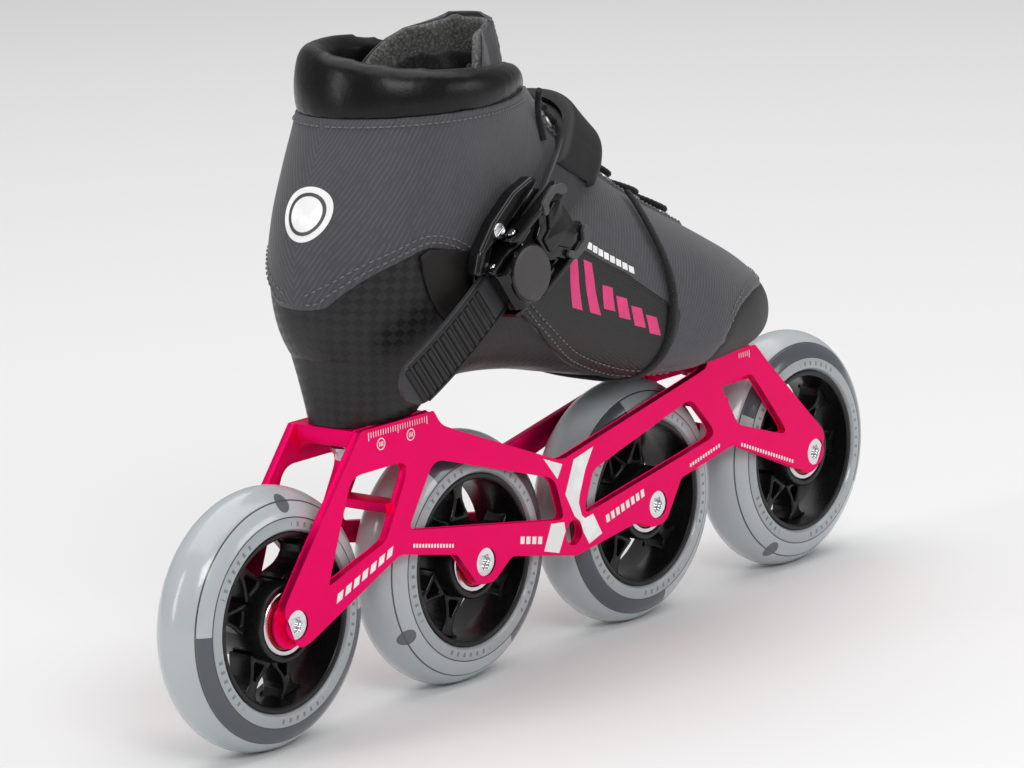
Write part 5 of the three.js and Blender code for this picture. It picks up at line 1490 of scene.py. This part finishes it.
tongue = puffed("felt_tongue", tongue_shell(3.6), 1.5, 0.35, FELT, "tongue_felt", "tongue", fill=0.3)
puffed("tongue_inner_pad", tongue_shell(2.0, 4.6, 9.0, 11.5), 1.4, 0.5, LINING, "tongue_felt", fill=0.5)
face_low, face_high = tongue_grid(-0.35, 1.2, low_t=5.2), tongue_grid(-0.95, 1.2, low_t=5.2)
tongue_face = piece("tongue_front_face", slab(face_low, face_high), MICROFIBRE, "skate", "tongue_felt",
                    crisp=60)
store_skin(tongue_face)

# %% Insole
rows_t, cols_a = np.linspace(2.2, 11, 60), np.linspace(-1, 1, 30)
half = between([[2, 30], [4, 38], [11, 34]], rows_t)
T, A = np.repeat(rows_t[:, None], 30, 1), 180 + cols_a[None, :] * half[:, None]
edge = pillow_edge(60, 30, 0.03, 0.06)
insole = piece("foam_insole", slab(on_boot(T, A, np.full(T.shape, -5.9)), on_boot(T, A, -8.0 - 0.9 * edge)),
               LINING, "skate",
               "insole_foam", "insole", crisp=60)
print("soft pieces:", collar.name, tongue.name, insole.name)

# %% [markdown]
# ## Panels, eyestays and seams
# The side panel is a thin coated cloth stitched over the arch. Printed bars and blocks stand where a
# maker would put a name. All seams are rows of separate stitches of grey thread. A seam is drawn
# either in side view, and looked up on the boot, or directly as section and angle.

# %% Panels and eyestays
PANEL_LOW = [[6.0, 198], [6.8, 203], [7.75, 219], [8.85, 241], [10.1, 258]]
PANEL_HIGH = [[6.0, 271], [7.45, 279], [8.6, 281], [10.1, 284]]


def patch(ts, low_of, high_of, low, high, cols=40, reach=(0.02, 0.03)):
    """Thin facing between two angles, lying between two offsets from the boot."""
    rows = len(ts)
    T = np.repeat(ts[:, None], cols, 1)
    f = np.linspace(0, 1, cols)[None, :]
    A = low_of(ts)[:, None] * (1 - f) + high_of(ts)[:, None] * f
    edge = pillow_edge(rows, cols, *reach)
    return slab(on_boot(T, A, np.full(T.shape, low)), on_boot(T, A, low + (high - low) * (0.3 + 0.7 * edge)))


for side, label in ((1, "outer"), (-1, "inner")):
    turn = (lambda a: a) if side > 0 else (lambda a: 360 - a)
    ends = [lambda t, table=table: turn(between(table, t)) for table in (PANEL_LOW, PANEL_HIGH)]
    if side < 0:
        ends.reverse()
    made = piece(f"grid_cloth_panel_{label}", patch(np.linspace(6.1, 10.1, 90), *ends, 0.6, 1.35),
                 GRID_CLOTH, "skate",
                 "panel_weave", f"side_panel_{label}", crisp=60)
    store_skin(made)
for side, label in ((-1, "outer"), (1, "inner")):
    ends = [lambda t: side * (throat_half(t) + 1.2), lambda t: side * (throat_half(t) + 15)]
    made = piece(f"eyestay_facing_{label}",
                 patch(np.linspace(4.5, 11.8, 90), *ends, 0.6, 1.45, 14, (0.01, 0.08)), MICROFIBRE,
                 "skate", "upper_microfibre", f"eyestay_{label}", crisp=60)
    store_skin(made)
ends = [lambda t: between([[10.2, -118], [12.9, -117]], t),
        lambda t: between([[10.2, -80], [11.2, -85], [12.1, -97], [12.7, -108], [12.9, -113]], t)]
base = piece("strap_base_leather", patch(np.linspace(10.2, 12.9, 50), *ends, 0.7, 1.7, 30, (0.04, 0.05)),
             BASE_LEATHER,
             "skate", "base_leather", "strap_base", crisp=60)
store_skin(base)

# %% Seams
def located(points_xz, side):
    """Section and angle on one side of the boot of points given in side view."""
    points_xz = np.asarray(points_xz, float)
    T, A = np.meshgrid(np.linspace(0.2, 16.9, 160), np.linspace(8, 172, 90) * side, indexing="ij")
    view = boot_point(T, A)[..., [0, 2]].reshape(-1, 2)
    t, a = np.empty(len(points_xz)), np.empty(len(points_xz))
    for k, p in enumerate(points_xz):
        best = int(np.argmin(((view - p) ** 2).sum(axis=1)))
        t[k], a[k] = T.ravel()[best], A.ravel()[best]
    for _ in range(6):
        here = boot_point(t, a)[:, [0, 2]]
        dt = (boot_point(t + 0.01, a)[:, [0, 2]] - here) / 0.01
        da = (boot_point(t, a + 0.1)[:, [0, 2]] - here) / 0.1
        miss = points_xz - here
        det = dt[:, 0] * da[:, 1] - dt[:, 1] * da[:, 0]
        det = np.where(np.abs(det) < 1e-3, 1e9, det)
        t = np.clip(t + np.clip((miss[:, 0] * da[:, 1] - miss[:, 1] * da[:, 0]) / det, -0.1, 0.1), 0.05,
                    LAST - 0.05)
        a = a + np.clip((dt[:, 0] * miss[:, 1] - dt[:, 1] * miss[:, 0]) / det, -2, 2)
    return t, a


def seam(t, a, lift, pitch=2.7, shift=0.0):
    """Spots for stitches along a line of sections and angles, moved sideways by a shift."""
    fine = np.linspace(0, len(t) - 1, 400)
    t, a = np.interp(fine, range(len(t)), t), np.interp(fine, range(len(t)), a)
    line = np.column_stack([boot_point(t, a), t, a])
    s = np.concatenate([[0], np.cumsum(np.linalg.norm(np.diff(line[:, :3], axis=0), axis=1))])
    at = np.arange(pitch / 2, s[-1] - pitch / 2, pitch)
    t, a = np.interp(at, s, t), np.interp(at, s, a)
    here = np.stack([np.interp(at, s, line[:, k]) for k in range(3)], 1)
    ahead = np.stack([np.interp(at + 0.5, s, line[:, k]) for k in range(3)], 1)
    out = boot_normal(t, a)
    along = unit(ahead - here)
    across = unit(np.cross(out, along))
    return [(p, u, n) for p, u, n in zip(here + out * lift + across * shift, along, out)]


def edge_line(line, raise_by, x0, x1):
    d = unit(np.gradient(line, axis=0))
    moved = line + np.stack([-d[:, 1], d[:, 0]], 1) * raise_by
    return moved[(moved[:, 0] > x0) & (moved[:, 0] < x1)]


stitches = []
for side in (-1, 1):
    for raise_by in (1.9, 4.1):
        for x0, x1, lift in ((25.5, 80, 1.0), (92, 190, 1.55)):
            t, a = located(edge_line(SHELL_EDGE, raise_by, x0, x1), side)
            stitches += seam(t, a, lift)
    angles = np.linspace(178, 40, 60) * side
    stitches += seam(section_at_height(angles, UPPER_TOP - 1.3), angles, 1.05, 2.3)
    for away in (11.5, 13.8):
        ts = np.linspace(4.6, 11.6, 50)
        stitches += seam(ts, side * (throat_half(ts) + away), 1.5)
    for inset in (1.6, 3.6):
        t, a = located(edge_line(CAP_EDGE, inset, 206, 262), side)
        stitches += seam(t, a, 1.0)
repeated("grey_stitches", stitches, STITCH, THREAD_GREY, "skate", (1, 1, 1), 0.06)

# %% Eyelets
LACE_ROWS = np.linspace(4.9, 11.4, 7)
points, faces = turned([(1.5, 0.0), (1.6, 0.5), (2.1, 0.75), (2.7, 0.55), (3.0, 0.1), (2.9, -0.2),
                        (1.6, -0.2)], 28)
eyelet_shape = shape_of("eyelet shape", (points[:, [0, 2, 1]], [tuple(reversed(face)) for face in faces]))
holes = [(t, side * (throat_half(t) + 7)) for t in LACE_ROWS for side in (-1, 1)]
spots = [(on_boot(t, a, 1.35), unit(boot_point(t + 0.05, a) - boot_point(t, a)), boot_normal(t, a)) for t,
         a in holes]
repeated("lace_eyelets", spots, eyelet_shape, ZINC, "skate", (1, 1, 1), crisp=50)

# %% [markdown]
# ## Printed marks and the heel disc
# Marks are thin films laid on the skin: two broad slanted bars and four blocks in magenta on the panel, a
# broken white stripe above it, and a white disc with one grey ring on the heel.

# %% Marks
def film(corners, low, rows=14, cols=14):
    """Film over a slanted patch with four corners (section, angle)."""
    c = np.asarray(corners, float)
    u = np.linspace(0, 1, rows)[:, None, None]
    v = np.linspace(0, 1, cols)[None, :, None]
    ta = (c[0] * (1 - u) + c[1] * u) * (1 - v) + (c[3] * (1 - u) + c[2] * u) * v
    T, A = ta[..., 0], ta[..., 1]
    return slab(on_boot(T, A, np.full(T.shape, low)), on_boot(T, A, np.full(T.shape, low + 0.1)))


pink = []
for t0, wide in ((8.86, 0.24), (8.44, 0.24)):
    pink.append(film([(t0 - 0.06, 277), (t0 - 0.66, 256), (t0 - 0.66 + wide, 256), (t0 - 0.06 + wide, 277)],
                     1.36))
for k in range(4):
    t0, a0 = 7.74 - 0.36 * k, 270.5 - 2.0 * k
    pink.append(film([(t0, a0), (t0 - 0.2, a0 - 10), (t0 + 0.04, a0 - 10.4), (t0 + 0.24, a0 - 0.4)], 1.36))
pink = [(p, [tuple(reversed(f)) for f in faces]) for p, faces in pink]
piece("magenta_panel_bars", gathered(pink), PRINT_PINK, "skate", "panel_weave")
white = []
for k in range(9):
    t0 = 8.62 - 0.165 * k
    white.append(film([(t0, 285.2 - 0.3 * k), (t0 - 0.03, 282.4 - 0.3 * k), (t0 + 0.10, 282.4 - 0.3 * k),
                       (t0 + 0.13, 285.2 - 0.3 * k)], 0.92))
white = [(p, [tuple(reversed(f)) for f in faces]) for p, faces in white]
piece("white_side_marks", gathered(white), PRINT_WHITE, "skate", "upper_microfibre")


def disc_film(t0, a0, r0, r1, low, count=64, rings=6):
    mm_t = np.linalg.norm(boot_point(t0 + 0.05, a0) - boot_point(t0 - 0.05, a0)) / 0.1
    mm_a = np.linalg.norm(boot_point(t0, a0 + 1) - boot_point(t0, a0 - 1)) / 2
    angles = np.linspace(0, 2 * math.pi, count, endpoint=False)
    points, faces = [], []
    radii = np.linspace(r0, r1, rings)
    for level in (low, low + 0.12):
        for r in radii:
            points.append(on_boot(t0 + r * np.cos(angles) / mm_t, a0 + r * np.sin(angles) / mm_a,
                                  np.full(count, level)))
    for top in (0, rings):
        for k in range(rings - 1):
            for i in range(count):
                j = (i + 1) % count
                quad = ((top + k) * count + i, (top + k) * count + j, (top + k + 1) * count + j,
                        (top + k + 1) * count + i)
                faces.append(quad if top else tuple(reversed(quad)))
    for k in (0, rings - 1):
        for i in range(count):
            j = (i + 1) % count
            faces.append((k * count + i, k * count + j, (rings + k) * count + j, (rings + k) * count + i))
    return np.concatenate(points), faces


DISC = (14.5, 183.0)
piece("heel_disc", disc_film(*DISC, 0.05, 9.6, 0.93), PRINT_WHITE, "skate", "upper_microfibre")
piece("heel_disc_ring", disc_film(*DISC, 6.2, 7.4, 1.06), SATIN_GREY,
      "skate", "upper_microfibre")

# %% [markdown]
# ## Cords and straps
# Lace, band and strap each follow a line on the boot. The lace is a braided tube: its radius swells
# where two strands cross, so the braid is real. Elastic and strap are swept from a flat rounded profile.

# %% Sweeping
def swept(stations, profile):
    """stations: (place, out, across) rows. profile(i, f): points (across, out), the same count each time."""
    points, faces = [], []
    total = len(stations)
    for i, (p, out, across) in enumerate(stations):
        loop = np.asarray(profile(i, i / (total - 1)), float)
        points.append(np.asarray(p) + np.outer(loop[:, 0], across) + np.outer(loop[:, 1], out))
    n = len(loop)
    for i in range(total - 1):
        for k in range(n):
            m = (k + 1) % n
            faces.append((i * n + k, i * n + m, (i + 1) * n + m, (i + 1) * n + k))
    faces.append(tuple(reversed(range(n))))
    faces.append(tuple(range((total - 1) * n, total * n)))
    return np.concatenate(points), faces


def curve_through(points, step):
    p = np.asarray(points, float)
    fine = smooth_line(p, len(p) * 24)
    s = np.concatenate([[0], np.cumsum(np.linalg.norm(np.diff(fine, axis=0), axis=1))])
    at = np.linspace(0, s[-1], max(int(s[-1] / step), 4))
    return np.stack([np.interp(at, s, fine[:, k]) for k in range(3)], 1), at


def braided(points, radius=1.12, sides=14, step=0.42, pitch=3.4):
    line, s = curve_through(points, step)
    ahead = unit(np.gradient(line, axis=0))
    out = np.zeros_like(line)
    out[0] = unit(np.cross(ahead[0], (0.3, 1, 0.2)))
    for i in range(1, len(line)):
        out[i] = unit(out[i - 1] - ahead[i] * (out[i - 1] @ ahead[i]))
    angles = np.linspace(0, 2 * math.pi, sides, endpoint=False)

    def profile(i, f):
        bump = np.sin(3.5 * angles + 2 * math.pi * s[i] / pitch) * np.sin(3.5 * angles - 2 * math.pi * s[i] / pitch)
        r = radius * (1 + 0.11 * bump)
        return np.stack([r * np.cos(angles), r * np.sin(angles)], 1)

    return swept([(line[i], out[i], np.cross(out[i], ahead[i])) for i in range(len(line))], profile)


CORD = felt("black braid", (0.0085, 0.0085, 0.009), (0.03, 0.03, 0.031), 0.4)
ELASTIC = felt("black elastic", (0.0075, 0.0075, 0.008), (0.022, 0.022, 0.023), 0.5)
OVER_STAY = 0.7 + 0.9 + 1.5 + 1.1


def lace_points():
    hole = lambda i, side: on_boot(LACE_ROWS[i], side * (throat_half(LACE_ROWS[i]) + 7), OVER_STAY - 1.0)
    middle = lambda i, lift: on_boot(LACE_ROWS[i] + 0.5, 0.0, lift)
    one, two = [], []
    for i in range(7):
        side = 1 if i % 2 == 0 else -1
        one.append(hole(i, side))
        two.append(hole(i, -side))
        if i < 6:
            one.append(middle(i, 1.3))
            two.append(middle(i, 3.4))
    return one[::-1] + [on_boot(LACE_ROWS[0] - 0.35, 0.0, 3.1)] + two


piece("braided_lace", braided(lace_points()), CORD, "skate", "lace_cord", "lace", crisp=70)
LACE_END = [[13.6, 322, 6], [13.0, 323, 4.6], [12.5, 322, 3.2], [12.1, 320, 2.4], [11.7, 318, 2],
            [11.3, 314, 2]]
piece("braided_lace_end", braided([on_boot(t, a, d) for t, a, d in LACE_END]), CORD, "skate", "lace_cord",
      "lace_end", crisp=70)
BAND_LINE = [[0, 7.05], [34, 7.0], [58, 6.8], [75, 6.4], [100, 6.3], [130, 6.2], [180, 5.9]]
angles = np.linspace(36, 324, 150)
folded = np.minimum(angles, 360 - angles)
smooth_t = np.convolve(np.pad(between(BAND_LINE, folded), 6, mode="edge"), np.ones(13) / 13, "valid")
band_at = on_boot(smooth_t, angles, between([[0, 2.3], [62, 2.3], [105, 0.9], [180, 0.35]], folded))
band_ahead, band_out = unit(np.gradient(band_at, axis=0)), boot_normal(smooth_t, angles)
oval = [(1.9 * math.cos(t), 0.95 * math.sin(t) + 0.9) for t in np.linspace(0, 2 * math.pi, 16,
        endpoint=False)]
band = piece("forefoot_elastic",
             swept([(p, n, unit(np.cross(n, u))) for p, n, u in zip(band_at, band_out, band_ahead)],
                                       lambda i, f: oval), ELASTIC, "skate", "lace_cord", "forefoot_band",
                                       crisp=60)

# %% [markdown]
# ## Instep strap and pad
# The strap is a toothed plastic ladder with a rounded free end. Its teeth are wedges repeated at the
# ladder's pitch. A thick rubber pad under it and a bevelled rubber sleeve over it spread its pull.

# %% Strap frame
STRAP_LINE = [[0, 9.0], [20, 9.1], [40, 9.55], [60, 10.15], [78, 10.781], [95, 11.0]]
strap_section = lambda a: between(STRAP_LINE, abs(a))
LACE_CLEAR = 4.9
pad_low = lambda a: LACE_CLEAR + (2.4 - LACE_CLEAR) * min(1, abs(a) / 40) ** 2
strap_low = lambda a: pad_low(a) + 2.6


def strap_frame(a):
    here, e3 = on_boot(strap_section(a), a, 0.0), boot_normal(strap_section(a), a)
    ahead = on_boot(strap_section(a + 3), a + 3, 0.0) - on_boot(strap_section(a - 3), a - 3, 0.0)
    e1 = unit(ahead - e3 * (ahead @ e3))
    return here, e1, np.cross(e3, e1), e3


SEAT = strap_frame(-88)


def at_seat(points):
    p = np.asarray(points, float)
    return SEAT[0] + p[..., :1] * SEAT[1] + p[..., 1:2] * SEAT[2] + p[..., 2:3] * SEAT[3]


def in_seat(shell):
    return at_seat(shell[0]), shell[1]


STRAP_RUN, STRAP_THICK, STRAP_HALF, TAIL, PITCH_RIB = 4.7, 2.4, 8.5, 47.0, 3.4
strap_stations, halves = [], []
for s in list(np.linspace(-22 - TAIL, -22, 60)) + [-14, -6, 0, 8, 15, 23]:
    droop = 7 * (max(0, -22 - s) / TAIL) ** 2
    lean = 14 * max(0, -22 - s) / TAIL ** 2
    out = unit(SEAT[3] - SEAT[1] * lean)
    strap_stations.append((at_seat((s, 0, STRAP_RUN - droop)), out, SEAT[2]))
    halves.append(STRAP_HALF * math.sqrt(max(0.02, 1 - (1 - min(1, (s + 22 + TAIL) / 8.0)) ** 2)))
for a in np.linspace(-44, 100, 90):
    here, e1, e2, e3 = strap_frame(a)
    strap_stations.append((here + e3 * strap_low(a), e3, e2))
    halves.append(STRAP_HALF)


def strap_profile(i, f):
    w, t, c = halves[i], STRAP_THICK, 0.55
    return [(-w + c, 0), (w - c, 0), (w, c), (w, t - c), (w - c, t), (-w + c, t), (-w, t - c), (-w, c)]


strap = piece("ladder_strap_body", swept(strap_stations, strap_profile), STRAP_GREY, "skate",
              "strap_plastic", "ladder_strap", crisp=30)
wedge = [(-0.5, -0.5, 0), (0.5, -0.5, 0), (0.5, 0.5, 0), (-0.5, 0.5, 0), (-0.49, -0.35, 0.42),
         (0.49, -0.35, 0.42), (0.49, 0.3, 1), (-0.49, 0.3, 1),
         (-0.49, -0.1, 0.92), (0.49, -0.1, 0.92)]
wedge_faces = [(3, 2, 1, 0), (0, 1, 5, 4), (4, 5, 9, 8), (8, 9, 6, 7), (7, 6, 2, 3), (1, 2, 6, 9, 5),
               (0, 4, 8, 7, 3)]
WEDGE = shape_of("ladder tooth", (np.array(wedge, float), wedge_faces))
spots = []
for s in np.arange(-22 - TAIL + 5, -24, PITCH_RIB):
    past = -22 - s
    p = at_seat((s, 0, STRAP_RUN + STRAP_THICK - 7 * (past / TAIL) ** 2 - 0.1))
    spots.append((p, SEAT[2], unit(SEAT[3] - SEAT[1] * 14 * past / TAIL ** 2)))
repeated("ladder_teeth", spots, WEDGE, STRAP_BLACK, "skate", (14.0, 3.1, 1.0), crisp=25)
rim_stations = [(p, n, x) for p, n, x in strap_stations[8:62]]
for k, y in enumerate((-7.7, 7.7)):
    piece(f"ladder_rim_{k + 1}",
          swept(rim_stations, lambda i, f,
                y=y: [(y - 0.55, 2.3), (y + 0.55, 2.3), (y + 0.4, 3.05), (y - 0.4, 3.05)]),
          STRAP_BLACK, "skate", "strap_plastic", crisp=30)

# %% Instep pad
pad_rows, pad_cols = 41, 90
f = np.linspace(-1, 1, pad_rows)[:, None]
A = np.repeat(np.linspace(-49, 48, pad_cols)[None, :], pad_rows, 0)
half = 1.15 - 0.3 * np.abs(A) / 47
T = np.vectorize(strap_section)(A) - 0.25 + f * half * np.sqrt(np.clip(1 - (np.clip(np.abs(A) - 42, 0,
        7) / 7.4) ** 2, 0.12, 1))
LOW = np.vectorize(pad_low)(A)
edge = pillow_edge(pad_rows, pad_cols, 0.13, 0.045)
skirt = np.maximum(np.clip((np.abs(f) - 0.8) / 0.06, 0, 1), np.clip((np.abs(A) - 45) / 2, 0, 1))
pad = piece("rubber_instep_pad",
            slab(on_boot(T, A, LOW + 0.1 - (LOW - 1.0) * skirt), on_boot(T, A, LOW + 0.8 + 1.5 * edge)),
            RUBBER, "skate",
            "pad_rubber", "instep_pad", crisp=60)
sleeve_a = np.repeat(np.linspace(-56, 50, pad_cols)[None, :], pad_rows, 0)
middle_t = np.vectorize(strap_section)(sleeve_a)
step_mm = np.linalg.norm(boot_point(middle_t + 0.05, sleeve_a) - boot_point(middle_t - 0.05, sleeve_a),
                         axis=-1) / 0.1
sleeve_t = middle_t + f * 10.8 / step_mm
over = np.vectorize(strap_low)(sleeve_a)
edge = pillow_edge(pad_rows, pad_cols, 0.14, 0.03)
bevel = np.clip(pillow_edge(pad_rows, pad_cols, 0.3, 0.07) * 1.4 - 0.25, 0, 1)
sides = np.clip((np.abs(f) - 0.74) / 0.05, 0, 1)
sleeve = piece("rubber_pad_sleeve", slab(on_boot(sleeve_t, sleeve_a, over + 2.5 - 2.6 * sides),
                                         on_boot(sleeve_t, sleeve_a, over + 2.7 + 1.3 * edge + 0.9 * bevel)),
                                         RUBBER, "skate",
               "pad_rubber", crisp=50)
print("strap and pad:", strap.name, pad.name)

# %% [markdown]
# ## Buckle
# The ratchet buckle has a base with two ears, a lever that pulls the ladder tight and a sprung pawl with
# a round thumb pad. Each is drawn in the buckle's own frame: along the strap, across it and away from the
# boot. Glossy black plates carry wide chamfers, which show as thin bright lines.

# %% Buckle parts
def on_top(shell, z):
    """Plate drawn along and across the strap, with its middle at a height."""
    points, faces = shell
    return in_seat((points + (0, 0, z), faces))


def on_edge(shell, y):
    """Plate drawn along the strap and upward, with its middle at a place across."""
    points, faces = shell
    return in_seat((np.stack([points[:, 0], y - points[:, 2], points[:, 1]], 1), faces))


def pin_shell(x, z, half, radius):
    profile = [(0, -half), (radius - 0.25, -half), (radius, -half + 0.3), (radius, half - 0.3),
               (radius - 0.25, half), (0, half)]
    points, faces = turned(profile, 32, closed=False)
    return in_seat((points + (x, 0, z), faces))


def mirrored(outline):
    return outline + [(u, -v, r) for u, v, r in reversed(outline)]


HINGE, PAWL = (-4.0, 11.7), (-17.5, 10.3)
ear = rounded([(-21, 3.4), (6, 3.4), (3, HINGE[1] + 2.8, 3), (-7, HINGE[1] + 3, 3), (-13, PAWL[1] + 2.6, 3),
               (-20.5, PAWL[1] + 2.6, 2)])
floor_plate = rounded(mirrored([(-22.6, 7.5, 3), (-20, 10.6, 2), (20, 10.6, 2), (22.4, 8, 2)]))
wing = rounded([(-25, 12.2, 3), (-18, 17.2, 6), (-6, 20.2, 6), (8, 20.6, 5), (19, 17.8, 3), (20, 14.2, 2),
                (4, 13.9, 2), (-12, 13.9, 1), (-20, 9.0, 2)])
small_wing = rounded([(-14, -13.9, 2), (-6, -15.4, 3), (6, -15.6, 3), (12, -13.9, 2)])
base_shells = [on_top(plate(floor_plate, (), 2.0, 0.3, 1), 3.4)]
base_shells += [on_edge(plate(ear, (), 1.6, 0.35, 2), side * 9.8) for side in (-1, 1)]
base_shells += [on_top(plate(wing, (), 5.4, 1.1, 3), 6.6), on_top(plate(small_wing, (), 4.0, 0.9, 3), 6.0)]
link = rounded([(-20, 9.6, 1), (18, 9.6, 1), (18, 16.5, 3), (-12, 16.5, 4)])
base_shells.append(on_top(plate(link, (), 1.6, 0.3, 1), 3.3))
piece("buckle_body", gathered(base_shells), GLOSS_BLACK, "skate", "buckle_grey", "buckle_base", crisp=28)
screw_head = plate(ring(2.7, count=40), [np.array([(-1.9, -0.35), (1.9, -0.35), (1.9, 0.35), (-1.9, 0.35)])],
                   1.0, 0.3, 2)
screw = [((p + (-6.5, 16.3, 9.6)), f) for p,
         f in [screw_head, (plate(ring(2.5, count=32), (), 0.4, 0.05, 0)[0] + (0, 0, -0.35),
                                                                plate(ring(2.5, count=32), (), 0.4, 0.05,
                                                                      0)[1])]]
piece("buckle_screw", in_seat(gathered(screw)), STEEL, "skate", "pin_steel", crisp=30)
piece("buckle_hinge_pin", pin_shell(*HINGE, 13.7, 1.5), STEEL, "skate", "pin_steel", "hinge_pin")
piece("buckle_pawl_pin", pin_shell(*PAWL, 11.0, 1.2), STEEL, "skate", "pin_steel", "pawl_pin")

# %% Lever and pawl
arm = rounded([(HINGE[0] - 4, HINGE[1] - 3.5, 3), (HINGE[0] - 4, HINGE[1] + 3.5, 3),
               (HINGE[0] + 12, HINGE[1] + 4.8, 4),
               (22, HINGE[1] + 3.4, 1.5), (22, HINGE[1] + 0.4, 1.5), (HINGE[0] + 10, HINGE[1] - 0.6, 4),
               (HINGE[0] + 3, HINGE[1] - 4, 3)])
x_plate = rounded(mirrored([(1.5, 5.5, 2), (5.5, 7.4, 2), (8.6, 12.4, 2), (16.4, 12.9, 2.5), (21.4, 10.4, 2),
                            (22.6, 6.4, 1.5), (19.4, 4.6, 1.5)]), 7)
x_rib = rounded(mirrored([(3.0, 3.0, 1.5), (7.5, 3.6, 2), (11, 8.6, 2), (15, 9.4, 2), (18.4, 7.4, 1.5),
                          (15.6, 3.2, 1.5)]), 7)
lever_shells = [on_edge(plate(arm, [ring(2.15, HINGE, 32)], 2.0, 0.45, 2), side * 11.9) for side in (-1, 1)]
lever_shells += [on_top(plate(x_plate, (), 2.6, 0.6, 3), HINGE[1] + 2.1),
                 on_top(plate(x_rib, (), 1.2, 0.5, 3), HINGE[1] + 3.8)]
piece("buckle_lever_body", gathered(lever_shells), GLOSS_BLACK, "lever", "buckle_black", "buckle_lever",
      crisp=28)
claw = [(8.0, 9.2, 1.5), (10.5, 13.4, 2), (18.0, 14.2, 3), (23.4, 10.8, 2.5), (22.2, 7.4, 1.2),
        (19.6, 8.4, 1.5), (17.6, 11.4, 2), (12.4, 11.2, 1.5), (10.6, 8.6, 1)]
claws = [on_top(plate(rounded([(u, side * v, r) for u, v, r in (claw if side > 0 else claw[::-1])]), (), 1.9,
                      0.5, 3), HINGE[1] + 4.3) for side in (-1, 1)]
piece("buckle_lever_claws", gathered(claws), SATIN_GREY, "lever", "buckle_black", crisp=28)
pawl_side = rounded([(PAWL[0] - 2.6, PAWL[1] - 2, 1.5), (PAWL[0] + 4, PAWL[1] - 1.4, 1),
                     (PAWL[0] + 7.2, 7.5), (PAWL[0] + 8.6, 7.5),
                     (PAWL[0] + 9.4, PAWL[1] + 2, 1), (PAWL[0] + 6, HINGE[1] + 4.6, 1),
                     (PAWL[0] - 1, HINGE[1] + 4.6, 1), (PAWL[0] - 2.6, PAWL[1] + 2.2, 1.5)])
pawl_body = on_edge(plate(pawl_side, [ring(1.85, PAWL, 32)], 15.8, 0.5, 2), 0)
thumb_profile = [(0, 15.9), (9.0, 15.9), (9.3, 16.3), (9.3, 17.2), (9.0, 17.7), (8.4, 18.0), (6.0, 18.25),
                 (3.0, 18.35), (0, 18.4)]
points, faces = turned(thumb_profile, 72, closed=False)
thumb = in_seat((np.stack([points[:, 0] + PAWL[0] + 8, points[:, 2], points[:, 1]], 1), faces))
piece("buckle_pawl_body", pawl_body, GLOSS_BLACK, "pawl", "buckle_grey", "release_pawl", crisp=28)
piece("buckle_thumb_pad", thumb, MATTE_GREY, "pawl", "buckle_grey", crisp=35)
collar_ring = turned([(9.2, 15.2), (9.9, 15.5), (9.9, 16.6), (9.45, 16.9), (9.3, 15.4)], 72)
ring_points = collar_ring[0]
piece("buckle_thumb_rim", in_seat((np.stack([ring_points[:, 0] + PAWL[0] + 8, ring_points[:, 2],
        ring_points[:, 1]], 1), collar_ring[1])),
      GLOSS_BLACK, "pawl", "buckle_grey", crisp=35)

# %% Bolts, screws and what stays as it is
for label in ("rear", "front"):
    for kind in ("mount_washer", "mount_bolt", "mount_insert"):
        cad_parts[f"{kind}_{label}"].data.materials[0] = ZINC
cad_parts["buckle_rivet"].data.materials[0] = STEEL
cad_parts["strap_screw"].data.materials[0] = STEEL
